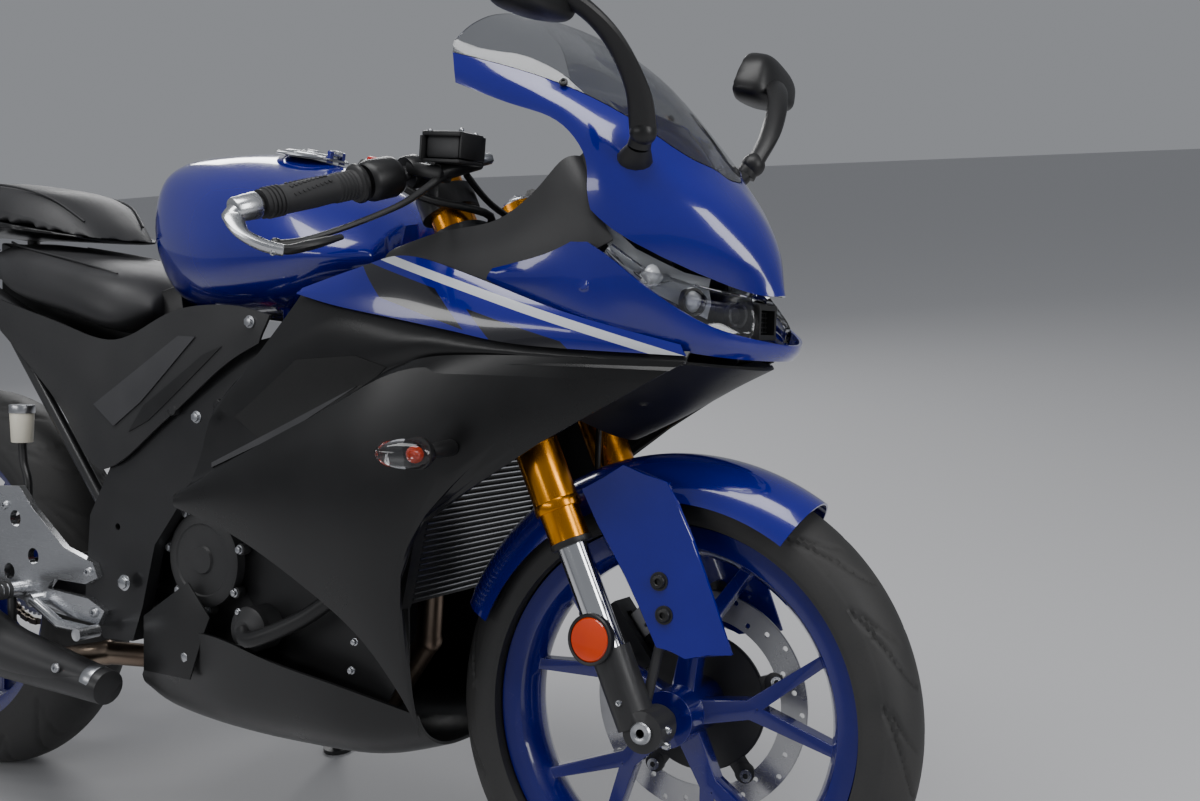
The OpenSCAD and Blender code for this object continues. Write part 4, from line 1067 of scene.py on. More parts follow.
@dataclass
class Fork:
    """The inverted fork with its yokes, mudguard, reflectors and front caliper.

    Args:
        kit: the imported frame.
        lower_yoke: height of the lower yoke up the legs.
        upper_yoke: height of the upper yoke.
        top: height of the fork tubes' top.
        flap_bolts: bolts of the mudguard's side flaps, in X and Z.
    """

    kit: Kit
    lower_yoke: float = 440.0
    upper_yoke: float = 606.0
    top: float = 700.0
    flap_bolts: tuple[tuple[float, float], ...] = ((664.0, 462.0), (672.0, 424.0))

    def build(self) -> None:
        """Makes the fork's pieces."""
        kit = self.kit
        kit.bevelled("fork_tubes", GOLD, 1.2)
        kit.dress("fork_stanchions", CHROME)
        kit.bevelled("axle_clamps", CASTING, 1.6)
        kit.bevelled("yokes", CASTING, 2.5)
        kit.refined("front_mudguard", BLUE, levels=1, crease=0.9)
        kit.bevelled("front_caliper", CASTING, 3)
        self.seals()
        self.fasteners()
        self.reflectors()
        self.caliper()

    def seals(self) -> None:
        """Makes the dust seals, tube collars and top caps."""
        seals, caps, collars = Shape(), Shape(), Shape()
        for s in (-1, 1):
            y = s * STANCE.leg_y
            low = STANCE.leg(232, y)
            seals.spun([(18.6, -4), (24.5, -4), (25.5, -2), (25.5, 3), (18.6, 3)], low, STANCE.up, 32, True)
            collars.spun([(24, 0), (27.6, 0), (28.4, 2), (28.4, 9), (27.4, 12), (24, 12)],
                         STANCE.leg(272, y), STANCE.up, 40, True)
            caps.rod(STANCE.leg(self.top, y), STANCE.leg(self.top + 5, y), 22, sides=40)
            caps.rod(STANCE.leg(self.top + 5, y), STANCE.leg(self.top + 12, y), 12, sides=6)
        stem = STANCE.leg(self.upper_yoke + 28, 0, -33)
        caps.rod(stem, stem + 14 * STANCE.up, 15, sides=6)
        seals.piece("fork_dust_seals", Body.STEERING, BLACK)
        collars.piece("fork_collars", Body.STEERING, GOLD)
        caps.piece("fork_top_caps", Body.STEERING, ZINC)

    def fasteners(self) -> None:
        """Makes the axle nuts, pinch bolts and mudguard bolts."""
        axle = Vector(STANCE.front_axle)
        bright, dark = Shape(), Shape()
        for s in (-1, 1):
            face = axle + Vector((0, s * (STANCE.leg_y + 22), 0))
            bright.spun([(5.2, -1), (13, -1), (13, 4), (11.5, 6), (7, 6), (5.2, 5)],
                        face, (0, s, 0), 28, True)
            for lift in (-9, 9):
                at = axle + Vector((21, s * (STANCE.leg_y + 4), lift - 6))
                bright.bolt(at, (1, 0, -0.2), 5, 7)
            bright.bolt(STANCE.leg(40, s * STANCE.leg_y, 0) + Vector((0, s * 23, 0)), (0, s, 0), 4, 4)
            for x, z in self.flap_bolts:
                dark.bolt((x, s * 90, z), (0, s, 0), 8.5, 6)
                dark.spun([(3, 0), (11, 0), (11, 1.2), (3, 1.2)], (x, s * 90, z), (0, s, 0), 24, True)
            dark.bolt(STANCE.leg(150, s * 84, -20), (0, s, 0), 7, 5)
            for at in (self.lower_yoke, self.upper_yoke):
                bright.bolt(STANCE.leg(at + 14, s * (STANCE.leg_y - 6), -36), -STANCE.ahead, 5, 6)
        bright.piece("fork_bolts", Body.STEERING, ZINC)
        dark.piece("mudguard_bolts", Body.STEERING, BLACK)

    def reflectors(self) -> None:
        """Makes the round orange reflectors on the legs, with their black rims."""
        lens, rim = Shape(), Shape()
        for s in (-1, 1):
            at = STANCE.leg(118, s * (STANCE.leg_y + 22), -6)
            way = Vector((-0.12, s, 0.05))
            lens.spun([(26, 0), (26, 4.5), (24, 6.5), (14, 7.6), (0, 8)], at, way, 40)
            rim.spun([(25.8, -3), (29.5, -3), (30, -1), (30, 5), (28.6, 6.5), (26, 6)], at, way, 40, True)
            rim.rod(STANCE.leg(118, s * STANCE.leg_y, -6), at, 12, sides=20)
        lens.piece("fork_reflectors", Body.STEERING, AMBER)
        rim.piece("reflector_rims", Body.STEERING, BLACK)

    def caliper(self) -> None:
        """Makes the caliper's pistons and bolts, and the brake hose."""
        at = Vector(STANCE.front_axle) + Vector((-108, 62, 64))
        detail = Shape()
        for k in (-1, 1):
            spot = at + Vector((k * 12, 22, -k * 16))
            detail.spun([(0, 4), (11, 4), (13, 2), (13, -2)], spot, (0, 1, 0), 28)
            detail.bolt(at + Vector((k * 19, 22, k * 8)), (0, 1, 0), 5, 5)
        detail.piece("front_caliper_bolts", Body.STEERING, ZINC)
        hose = Shape()
        hose.tube([at + Vector((10, 20, 40)), at + Vector((26, 30, 70)), STANCE.leg(260, 62, -30),
                   STANCE.leg(430, 62, 34), STANCE.leg(560, 66, 26), STANCE.leg(625, 44, 34),
                   STANCE.leg(662, -50, 34), (402, -118, 925)], 4.2)
        hose.piece("front_brake_hose", Body.STEERING, BLACK)


@dataclass
class Cockpit:
    """Clip-on bars with grips, levers, guards, switches and the brake fluid tank.

    Args:
        kit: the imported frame.
        bar_in: inner end of the left bar.
        bar_out: its outer end.
    """

    kit: Kit
    bar_in: tuple[float, float, float] = (356.0, 122.0, 934.0)
    bar_out: tuple[float, float, float] = (284.0, 338.0, 858.0)

    def at(self, share: float, side: int = 1, forward: float = 0.0, lift: float = 0.0,
           out: float = 0.0) -> Vector:
        """Point on or beside a handlebar.

        Args:
            share: place along the bar, from 0 to 1.
            side: 1 for left, -1 for right.
            forward: distance ahead of it.
            lift: distance above it.
            out: distance outward of it.

        Returns:
            The point.
        """
        a, b = Vector(self.bar_in), Vector(self.bar_out)
        p = a + share * (b - a) + Vector((forward, out, lift))
        return Vector((p.x, side * p.y, p.z))

    def build(self) -> None:
        """Makes the cockpit's pieces."""
        self.kit.bevelled("clip_ons", CASTING, 1.5)
        self.grips()
        self.levers()
        self.switches()
        self.fluid_tank()

    def grips(self) -> None:
        """Makes the rubber grips, with end rings and raised lozenges."""
        rubber = Shape()
        for s in (-1, 1):
            a, b = self.at(0.45, s), self.at(0.98, s)
            way = (b - a).normalized()
            length = (b - a).length
            profile = [(9.2, 0), (20, 0), (21, 1), (21, 5), (20, 6), (17, 7)]
            for k in range(5):
                h = 12 + 5 * k
                profile += [(16, h - 1.5), (16.8, h), (16.8, h + 1.5), (16, h + 2.5)]
            profile += [(15.6, 42), (16.4, 60), (16.0, length - 28)]
            for k in range(4):
                h = length - 24 + 5 * k
                profile += [(15.4, h), (17.2, h + 0.8), (17.2, h + 2.8), (15.4, h + 3.6)]
            profile += [(16, length), (9.2, length)]
            rubber.spun(profile, a, way, 36, True)
            for k in range(9):
                for turn in range(3):
                    spot = a + way * (44 + 6 * k)
                    side = way.cross(Vector((0, 0, 1))).normalized()
                    angle = math.radians(70 + 36 * turn + 3 * k)
                    face = math.cos(angle) * side + math.sin(angle) * side.cross(way)
                    rubber.rod(spot + 15 * face, spot + 17.2 * face, 2.6, sides=4, bevel=0.4)
        rubber.piece("grips_patterned", Body.STEERING, GRIP, ["grips"])

    def levers(self) -> None:
        """Makes the levers, their perches, the bar ends and the lever guards."""
        dark, bright, guard = Shape(), Shape(), Shape()
        for s in (-1, 1):
            dark.tube([self.at(0.12, s, 46, -2), self.at(0.26, s, 50, -14), self.at(0.45, s, 56, -26),
                       self.at(0.72, s, 50, -37), self.at(0.9, s, 40, -42), self.at(1.0, s, 31, -42)],
                      6.8, radii=(1.1, 0.95, 0.85, 0.8, 0.8, 1.15), flat=0.62)
            dark.ball(self.at(1.01, s, 30, -42), 7.5)
            dark.box(self.at(0.14, s, 26, 0), (52, 26, 17), (0, 10, 0), bevel=4)
            dark.spun([(0, 9), (19, 9), (20, 7), (20, -7), (19, -9), (0, -9)],
                      self.at(0.13, s), self.at(0.2, s) - self.at(0.13, s), 32)
            bright.bolt(self.at(0.13, s, 42, 7), (0, 0, 1), 6, 4)
            bright.bolt(self.at(0.13, s, 22, 10), (0, 0, 1), 3.4, 3)
            dark.tube([self.at(0.8, s, 63, -44), self.at(0.92, s, 60, -45), self.at(1.02, s, 53, -46),
                       self.at(1.06, s, 46, -44)], 11, radii=(0.6, 1.0, 1.0, 0.9), flat=0.5)
            guard.tube([self.at(1.045, s, 50, -46), self.at(1.10, s, 38, -38), self.at(1.14, s, 20, -24),
                        self.at(1.13, s, 4, -8), self.at(1.1, s, 0, 0)], 11.5,
                       radii=(0.9, 1.0, 1.0, 1.05, 1.1), flat=0.6)
            guard.rod(self.at(1.0, s), self.at(1.12, s), 15, 13, bevel=2)
            for k in (0, 1):
                spot = self.at(1.07 + 0.025 * k, s, 47 - 9 * k, -47 + 7 * k, 6)
                bright.bolt(spot, (0.5, s * 0.5, -0.7), 3.6, 3)
        dark.piece("levers", Body.STEERING, BLACK)
        guard.piece("lever_guards", Body.STEERING, ALLOY)
        bright.piece("lever_bolts", Body.STEERING, ZINC, ["hand_controls"])

    def switches(self) -> None:
        """Makes the switch pods and their buttons."""
        pods, red, keys = Shape(), Shape(), Shape()
        for s in (-1, 1):
            a, b = self.at(0.24, s), self.at(0.42, s)
            way = (b - a).normalized()
            pods.spun([(9.2, -3), (19, -3), (22, 0), (24, 6), (24, 34), (22, 40), (20, 42), (9.2, 42)],
                      a, way, 40, True)
            pods.box((a + b) / 2 + Vector((-8, 0, 2)), (38, 34, 36), (s * 8, 16, s * 14), bevel=9)
            pods.spun([(9.2, 0), (21, 0), (22.5, 2), (22.5, 5), (21, 7), (9.2, 7)],
                      self.at(0.44, s), way, 36, True)
            keys.rod(self.at(0.33, s, -27, 4), self.at(0.33, s, -31, 5), 6, sides=20)
            keys.box(self.at(0.27, s, -25, 14), (7, 12, 7), bevel=2)
        top = self.at(0.33, -1, -6, 21)
        red.box(top, (14, 16, 8), (0, 10, 0), bevel=2.5)
        pods.tube([self.at(0.2, -1, 8, -16), self.at(0.1, -1, 20, -34), (420, -90, 880), (380, -60, 850)], 5)
        pods.tube([self.at(0.2, 1, 8, -16), self.at(0.1, 1, 20, -34), (420, 90, 880), (380, 60, 850)], 5)
        keys.piece("switch_keys", Body.STEERING, GREY)
        pods.piece("switch_pods", Body.STEERING, BLACK)
        red.piece("stop_switch", Body.STEERING, SWITCH_RED)

    def fluid_tank(self) -> None:
        """Makes the brake master cylinder and its square fluid tank."""
        body, clear, metal = Shape(), Shape(), Shape()
        centre = Vector((406, -156, 951))
        turn = (4, 4, -8)
        clear.box(centre - Vector((0, 0, 2)), (50, 36, 26), turn, bevel=4)
        body.box(centre + Vector((0, 0, 13)), (57, 43, 6), turn, bevel=1.6)
        for sx in (-1, 1):
            body.box(centre + Vector((sx * 27, 0, -2)), (3, 43, 28), turn, bevel=1)
            for sy in (-1, 1):
                metal.bolt(centre + Vector((sx * 21, sy * 15, 16)), (0, 0, 1), 3, 2)
        body.box(centre + Vector((0, 0, -18)), (57, 43, 4), turn, bevel=1)
        start = self.at(0.1, -1, 40, 6)
        body.rod(start, centre - Vector((10, -6, 22)), 10, 8)
        body.rod(self.at(0.16, -1, 44, 0), self.at(-0.06, -1, 52, 4), 11, 10)
        metal.rod(self.at(-0.07, -1, 52, 4), self.at(-0.13, -1, 54, 5), 7, sides=6)
        clear.piece("fluid_tank", Body.STEERING, GREY)
        body.piece("master_cylinder", Body.STEERING, BLACK)
        metal.piece("master_cylinder_bolts", Body.STEERING, ZINC)


@dataclass
class Nose:
    """The nose: screen, lamps, mirrors, intake grille and instruments.

    Args:
        kit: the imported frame.
        foot: middle of the left mirror's foot.
        head: middle of the left mirror's shell.
        shell: half sizes of that shell.
        shell_back: how far behind its middle the shell is cut off.
        lamp_line: upper edge of the left lamp's reflector, from the rear forward.
        grille_bars: level bars across the intake.
    """

    kit: Kit
    foot: Point = (650.0, 118.0, 938.0)
    head: Point = (621.0, 272.0, 1091.0)
    shell: Point = (34.0, 58.0, 34.0)
    shell_back: float = -14.0
    lamp_line: tuple[Point, ...] = ((624, 142, 868), (642, 134, 844), (664, 120, 820), (686, 104, 802),
                                    (708, 86, 788), (728, 66, 778))
    grille_bars: int = 5

    def build(self) -> None:
        """Makes the nose's pieces."""
        kit = self.kit
        kit.refined("nose_cowl", BLUE)
        kit.refined("nose_sides", BLUE)
        kit.refined("windscreen", SCREEN, crease=0.95)
        kit.refined("headlights", LENS, crease=0.95)
        kit.refined("chin_cowl", BLACK)
        kit.refined("cockpit_panels", GREY)
        kit.bevelled("nose_intake", BLACK, 1.5)
        kit.dress("fairing_stay", FRAME)
        self.lamps()
        self.grille()
        self.mirrors()
        self.instruments()
        self.screws()

    def lamps(self) -> None:
        """Makes the reflectors, inner lenses and bezels behind the clear lenses."""
        bowls, dark = Shape(), Shape()
        rows = []
        for k, (x, y, z) in enumerate(self.lamp_line):
            row = []
            for step in range(4):
                dent = 7 if (k + step) % 2 else 0
                tall = (20 + 5 * k) * (step / 3 - 0.26)
                row.append(bowls.bm.verts.new((x - 12 - dent, y - 11 - dent, z + tall)))
            rows.append(row)
        for left, right in zip(rows, rows[1:]):
            for step in range(3):
                bowls.bm.faces.new((left[step], left[step + 1], right[step + 1], right[step]))
        made = bmesh.ops.solidify(bowls.bm, geom=bowls.bm.faces[:], thickness=2)
        for face in made["geom"]:
            if isinstance(face, bmesh.types.BMFace):
                face.smooth = False
        bowls.ball((668, 104, 812), 13, (0.6, 1, 1))
        bowls.ball((704, 78, 786), 15, (0.6, 1, 1))
        for at, r in (((708, 83, 784), 15), ((742, 44, 770), 12)):
            dark.spun([(r - 3, -6), (r, -6), (r + 1, 4), (r - 2, 4)], at, (0.8, 0.4, 0), 36, True)
        bowls.both_sides().piece("lamp_reflectors", Body.ROOT, REFLECTOR)
        dark.both_sides().piece("lamp_bezels", Body.ROOT, BLACK)

    def grille(self) -> None:
        """Makes the bars across the nose intake."""
        shape = Shape()
        for k in range(self.grille_bars):
            shape.box((752, 0, 753 + 5.6 * k), (4, 35, 1.6), bevel=0.5)
        for k in range(-2, 3):
            shape.box((752, 7 * k, 764), (3, 1.4, 27), bevel=0.4)
        shape.piece("intake_grille", Body.ROOT, BLACK)

    def mirrors(self) -> None:
        """Makes the mirrors: feet, stalks, shells and glass."""
        dark, glass, bolts = Shape(), Shape(), Shape()
        foot, head = Vector(self.foot), Vector(self.head)
        dark.tube([foot + Vector((-14, -16, -6)), foot, foot + Vector((14, 14, 12))], 21,
                  radii=(1.1, 1.0, 0.62), flat=0.7)
        dark.ball(foot + Vector((22, 20, 26)), 15)
        dark.rod(foot + Vector((14, 14, 12)), foot + Vector((24, 22, 34)), 13, 11)
        dark.tube([foot + Vector((22, 20, 26)), (680, 166, 1004), (672, 206, 1050), (650, 244, 1080), head],
                  15, radii=(1.0, 0.95, 0.9, 1.0, 1.3), flat=0.6)
        bm = dark.bm
        turn = Matrix.Rotation(math.radians(-8), 4, "X") @ Matrix.Rotation(math.radians(12), 4, "Y")
        shell = Matrix.Translation(head + Vector((-4, 8, 2))) @ turn
        made = bmesh.ops.create_icosphere(bm, subdivisions=4, radius=1, matrix=shell)
        inverse = shell.inverted()
        for vert in made["verts"]:
            p = inverse @ vert.co
            p = Vector([math.copysign(abs(v) ** 0.66, v) * r for v, r in zip(p, self.shell)])
            p.x = max(p.x, self.shell_back)
            p.x *= 1.0 - 0.35 * (p.z / 38) * (p.x > 0)
            p.z *= 1.0 - 0.2 * (p.y / 60)
            p.y += 0.25 * p.z
            vert.co = shell @ p
        lay = shell @ Matrix.Translation((self.shell_back - 0.6, 0, 0)) @ Matrix.Rotation(math.pi / 2, 4, "Y")
        pane = bmesh.ops.create_circle(glass.bm, cap_ends=True, segments=48, radius=1,
                                       matrix=lay @ Matrix.Diagonal((30, 48, 1, 1)))
        for vert in pane["verts"]:
            p = inverse @ vert.co
            p.z *= 1.0 - 0.16 * (p.y / 58)
            p.y += 0.25 * p.z
            vert.co = shell @ p
        face = glass.bm.faces[:]
        bmesh.ops.extrude_face_region(glass.bm, geom=face)
        bmesh.ops.translate(glass.bm, verts=glass.bm.verts[-48:], vec=(1.2, 0, 0))
        for k in (-1, 1):
            bolts.bolt(foot + Vector((k * 12 - 2, -4 - k * 4, 15 - k * 4)), (0.3, 0.5, 1), 5, 3)
        dark.both_sides().piece("mirror_shells", Body.ROOT, BLACK, ["mirrors"])
        glass.both_sides().piece("mirror_glass", Body.ROOT, PANE)
        bolts.both_sides().piece("mirror_bolts", Body.ROOT, ZINC)

    def instruments(self) -> None:
        """Makes the dashboard and the steering lock."""
        self.kit.bevelled("dashboard", BLACK, 4)
        face = Shape()
        tilt = Matrix.Translation((557, 0, 915)) @ Matrix.Rotation(math.radians(-38), 4, "Y")
        made = bmesh.ops.create_cube(face.bm, size=1, matrix=tilt @ Matrix.Diagonal((3, 104, 60, 1)))
        face._soften(made["verts"], 1.2, 2)
        face.piece("dashboard_display", Body.ROOT, DISPLAY)
        lock = Shape()
        stem = STANCE.leg(634, 0, 8)
        lock.spun([(0, 10), (7, 10), (8, 12), (14, 12), (15, 10), (15, -4), (0, -4)], stem, STANCE.up, 32)
        lock.piece("steering_lock", Body.STEERING, ZINC)

    def screws(self) -> None:
        """Makes the screws that hold the screen and the panels of the nose."""
        shape = Shape()
        for x, y, z, way in ((560, 126, 1026, (0.4, 0.9, 0.5)), (630, 105, 985, (0.5, 0.7, 0.6)),
                             (690, 60, 942, (0.7, 0.4, 0.6))):
            shape.bolt((x, y, z), way, 5, 2.5)
        shape.both_sides().piece("screen_screws", Body.ROOT, BLACK)


@dataclass
class Bodywork:
    """Tank, seats, tail and side panels.

    Args:
        kit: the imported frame.
        cover_bolts: bolts of the left side cover, which the right one mirrors.
        welt_r: radius of the seats' sewn welts.
        cap_centre: middle of the fuel cap.
        cap_slope: its fall towards the front, degrees.
        ring_bolts: bolts in the ring round it.
    """

    kit: Kit
    cover_bolts: tuple[Point, ...] = ((117, 165, 749), (47, 187, 625))
    welt_r: float = 1.8
    cap_centre: Point = (60.0, 0.0, 979.0)
    cap_slope: float = 8.0
    ring_bolts: int = 7

    def build(self) -> None:
        """Makes the bodywork."""
        kit = self.kit
        kit.refined("fuel_tank", BLUE)
        kit.refined("tail_cowl", SATIN)
        kit.refined("side_covers", GREY)
        kit.refined("side_fairing_left", SATIN, sharp=24)
        kit.refined("side_fairing_right", SATIN, sharp=24)
        kit.refined("flash_panels", FLASH_AND_HIGHLIGHT)
        kit.refined("belly_pan", SATIN)
        kit.bevelled("rear_mudguard", BLACK, 2)
        kit.bevelled("tail_light", RED, 2)
        for node in ("rider_seat", "pillion_seat"):
            seat = kit.refined(node, VINYL, levels=2, crease=0.15, sharp=50)
        kit.patch("side_cover_blades", "side_covers",
                  [(-22, 728), (45, 727), (-98, 636), (-147, 596), (-200, 628)], SLATE_AND_RIDGE_HIGHLIGHT, 1.8)
        kit.patch("side_cover_slots", "side_covers",
                  [(28, 704), (64, 716), (-84, 612), (-124, 594), (-92, 632)], BLACK)
        # painted shade: a matt near-black sheet laid on the left fairing, mirrored to the right, where the
        # recessed intake falls into shade
        kit.patch("fairing_recess_shade", "side_fairing_left",
                  [(208, 704), (305, 712), (352, 700), (312, 668), (150, 596), (96, 627)], MATT_RECESS_SHADE, 1.0)
        # painted highlight: a lighter grey strip along the fairing's ridge, where the black panel catches the
        # light
        kit.patch("fairing_ridge_highlight", "side_fairing_left",
                  [(60, 560), (312, 664), (356, 698), (360, 706), (306, 676), (58, 566)], SLATE_AND_RIDGE_HIGHLIGHT, 1.6)
        self.cap()
        self.seams()
        self.screws()
        self.intakes()

    def cap(self) -> None:
        """Makes the fuel cap with its ring of bolts and its lock cover."""
        turn = Matrix.Rotation(math.radians(self.cap_slope), 4, "Y")
        centre = Vector(self.cap_centre)

        def at(x: float, y: float, z: float) -> Vector:
            """Point in the cap's own frame."""
            return centre + turn @ Vector((x, y, z))
        cap, ring = Shape(), Shape()
        cap.spun([(0, 9), (13, 9), (14, 8), (15, 6.6), (34, 6.3), (37, 4.8), (38, 3), (38, -1.6), (0, -1.6)],
                 centre, turn @ Vector((0, 0, 1)), 64)
        cap.box(at(-2, 0, 9.4), (16, 7, 2), (0, 8, 0), bevel=0.8)
        cap.box(at(31, 0, 3), (22, 15, 5), (0, 8, 0), bevel=1)
        cap.rod(at(43, -8, 9), at(43, 8, 9), 4)
        cap.piece("fuel_cap_lid", Body.FUEL_CAP, ALLOY, ["fuel_cap"])
        ring.spun([(39.5, -1.7), (49, -1.7), (49, 0.4), (47.5, 1.4), (41, 1.4), (39.5, 0.6)],
                  centre, turn @ Vector((0, 0, 1)), 64, True)
        for k in range(self.ring_bolts):
            a = 2 * math.pi * (k + 0.5) / self.ring_bolts
            ring.bolt(at(45 * math.cos(a), 45 * math.sin(a), 1.3), turn @ Vector((0, 0, 1)), 2.6, 1.5)
        ring.piece("fuel_cap_ring", Body.ROOT, ZINC)

    def seams(self) -> None:
        """Makes the sewn welts round the seats."""
        for name, path in (
                ("rider_seat_welt", [(-500, 66, 862), (-420, 98, 850), (-300, 108, 831), (-215, 100, 812)]),
                ("pillion_seat_welt", [(-630, 52, 950), (-560, 74, 952), (-470, 80, 944), (-400, 70, 926),
                                       (-350, 52, 893)])):
            shape = Shape()
            shape.tube(path, self.welt_r, steps=8, sides=8)
            shape.both_sides().piece(name, Body.ROOT, VINYL)

    def screws(self) -> None:
        """Makes the hexagon bolts that hold the panels."""
        shape = Shape()
        for at in self.cover_bolts:
            shape.bolt(at, (0, 1, 0), 6.5, 5, hexagon=True)
        for x, y, z, r in ((-132, 154.5, 384, 9), (-26, 140, 292, 7), (275, 140, 354, 4), (270, 140, 317, 4)):
            shape.bolt((x, y, z), (0, 1, 0), r, 6, hexagon=True)
        shape.both_sides().piece("panel_bolts", Body.ROOT, ZINC)

    def intakes(self) -> None:
        """Makes the dark inner panels behind the side fairings, and the tray under the seats."""
        shape = Shape()
        shape.prism([(40, 400), (60, 500), (150, 560), (330, 560), (336, 330), (300, 270), (20, 262),
                     (30, 318), (100, 330)], 108, 111, 1)
        shape.prism([(-150, 262), (-150, 440), (-60, 500), (-20, 470), (-60, 420), (-60, 330), (0, 262)],
                    97, 100, 1)
        shape.prism([(-107, 262), (-107, 339), (-20, 396), (22, 352), (6, 318), (-16, 262)], 142, 145, 1)
        shape.both_sides().piece("inner_side_panels", Body.ROOT, BLACK)
        tray = Shape()
        tray.prism([(-520, 760), (-520, 862), (-330, 806), (-205, 778), (-120, 800), (-110, 740), (-190, 660),
                    (-330, 680)], -72, 72, 4)
        tray.piece("seat_tray", Body.ROOT, BLACK)


@dataclass
class Power:
    """Engine, radiator, exhaust and final drive.

    Args:
        kit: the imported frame.
        fins: level fins in the radiator.
        fin_pitch: distance between two fins.
        chain_y: sideways place of the chain.
        gearbox: centre of the front sprocket, in X and Z.
        rear_r: radius of the chain's line round the rear sprocket.
        front_r: the same round the front sprocket.
        teeth: teeth of the rear sprocket.
        holes: lightening holes in it.
    """

    kit: Kit
    fins: int = 24
    fin_pitch: float = 7.6
    chain_y: float = 84.0
    gearbox: tuple[float, float] = (-70.0, 380.0)
    rear_r: float = 95.0
    front_r: float = 41.0
    teeth: int = 42
    holes: int = 6

    def build(self) -> None:
        """Makes the power unit's pieces."""
        kit = self.kit
        kit.bevelled("engine", ENGINE, 4)
        kit.bevelled("exhaust_pipe", PIPE, 0)
        kit.bevelled("silencer", EXHAUST, 2)
        kit.bevelled("radiator", BLACK, 1.5)
        self.covers()
        self.core()
        self.shield()
        self.chain()

    def covers(self) -> None:
        """Makes the ribbed engine covers, bolts, fins, pump and hoses."""
        cast, bright, rubber = Shape(), Shape(), Shape()
        for centre, r, y in (((-10, 0, 425), 62, -124), ((52, 0, 395), 60, 122)):
            way = (0, 1 if y > 0 else -1, 0)
            at = Vector((centre[0], y, centre[2]))
            cast.spun([(r - 1, -2), (r + 3, -2), (r + 3, 3), (r - 3, 6), (r - 12, 6), (r - 14, 4), (20, 4),
                       (18, 7), (0, 7)], at, way, 72)
            for k in range(7):
                a = 2 * math.pi * k / 7 + 0.3
                spot = at + Vector(((r + 7) * math.cos(a), 0, (r + 7) * math.sin(a)))
                cast.rod(spot - 12 * Vector(way), spot, 8, sides=20)
                bright.bolt(spot, way, 5, 5, hexagon=True)
        for k in range(6):
            cast.box((178 + 13 * k, 0, 452 + 17 * k), (112, 158, 3), (0, 38, 0), bevel=0.8)
        pump = Vector((93, -138, 345))
        cast.spun([(0, 16), (14, 16), (18, 13), (27, 10), (31, 6), (31, -2)], pump, (0, -1, 0), 40)
        for k in range(3):
            a = 2.1 * k
            spot = pump + Vector((27 * math.cos(a), -9, 27 * math.sin(a)))
            bright.bolt(spot, (0, -1, 0), 4, 4, hexagon=True)
        rubber.tube([pump + Vector((0, -14, 0)), pump + Vector((24, -22, -6)), (190, -148, 372),
                     (262, -132, 420), (318, -112, 430)], 11, sides=18)
        rubber.tube([(-60, -96, 470), (-96, -108, 500), (-140, -100, 480), (-170, -96, 420)], 7)
        for x, z in ((-60, 300), (0, 262), (60, 262), (120, 268), (168, 300), (-80, 400)):
            for s in (-1, 1):
                bright.bolt((x, s * 100, z), (0, s, 0), 5, 5, hexagon=True)
        cast.piece("engine_covers", Body.ROOT, ENGINE)
        bright.piece("engine_bolts", Body.ROOT, ZINC)
        rubber.piece("coolant_hoses", Body.ROOT, BLACK)

    def core(self) -> None:
        """Makes the radiator's fins."""
        shape = Shape()
        turn = Matrix.Rotation(math.radians(12), 4, "Y")
        for k in range(self.fins):
            at = Vector((345, 0, 500)) + turn @ Vector((14, 0, -88 + self.fin_pitch * k))
            shape.box(at, (5, 222, 1.6), (0, 12, 0), bevel=0)
        shape.piece("radiator_fins", Body.ROOT, ZINC)

    def shield(self) -> None:
        """Makes the exhaust heat shield, its bolts, the clamp and the tail pipe."""
        front, back = Vector((-420, -178, 268)), Vector((-700, -192, 410))
        way = (back - front).normalized()
        cover, bright = Shape(), Shape()
        cover.tube([(-176, -172, 245), (-250, -178, 254), (-350, -186, 272), (-470, -194, 306)], 40,
                   steps=5, sides=28, radii=(0.5, 0.66, 0.86, 1.16), flat=1.0)
        for t in (0.14, 0.8):
            spot = Vector((-176, -172, 245)).lerp(Vector((-470, -194, 306)), t) + Vector((0, -20 - 32 * t, 8))
            bright.bolt(spot, (0, -1, 0.1), 7, 4)
        tip = back + 44 * way
        bright.spun([(30, -12), (33, -12), (33, 6), (31, 8), (28, 6), (28, -40)], tip, way, 48)
        bright.spun([(17.5, -9), (21, -9), (22, -7), (22, 7), (21, 9), (17.5, 9)], (-172, -171.5, 244),
                    Vector((-1, -0.08, 0.12)), 40, True)
        cover.piece("exhaust_shield", Body.ROOT, EXHAUST)
        bright.piece("exhaust_fittings", Body.ROOT, ZINC)

    def chain(self) -> None:
        """Makes the chain's links and the sprocket."""
        rear_x, _, rear_z = STANCE.rear_axle
        rear = Vector((rear_x, self.chain_y, rear_z))
        front = Vector((self.gearbox[0], self.chain_y, self.gearbox[1]))
        big, small = self.rear_r, self.front_r
        links = Shape()
        way = (front - rear).normalized()
        side = Vector((-way.z, 0, way.x))
        gap = (front - rear).length
        swing = math.asin((big - small) / gap)

        def off(sign: int) -> Vector:
            """Direction square to one run of the chain."""
            return (side * math.cos(swing) * sign + way * -math.sin(swing)).normalized()
        top_a, top_b = rear + big * off(1), front + small * off(1)
        low_a, low_b = rear + big * off(-1), front + small * off(-1)
        path = [top_a.lerp(top_b, k / 47) for k in range(48)]

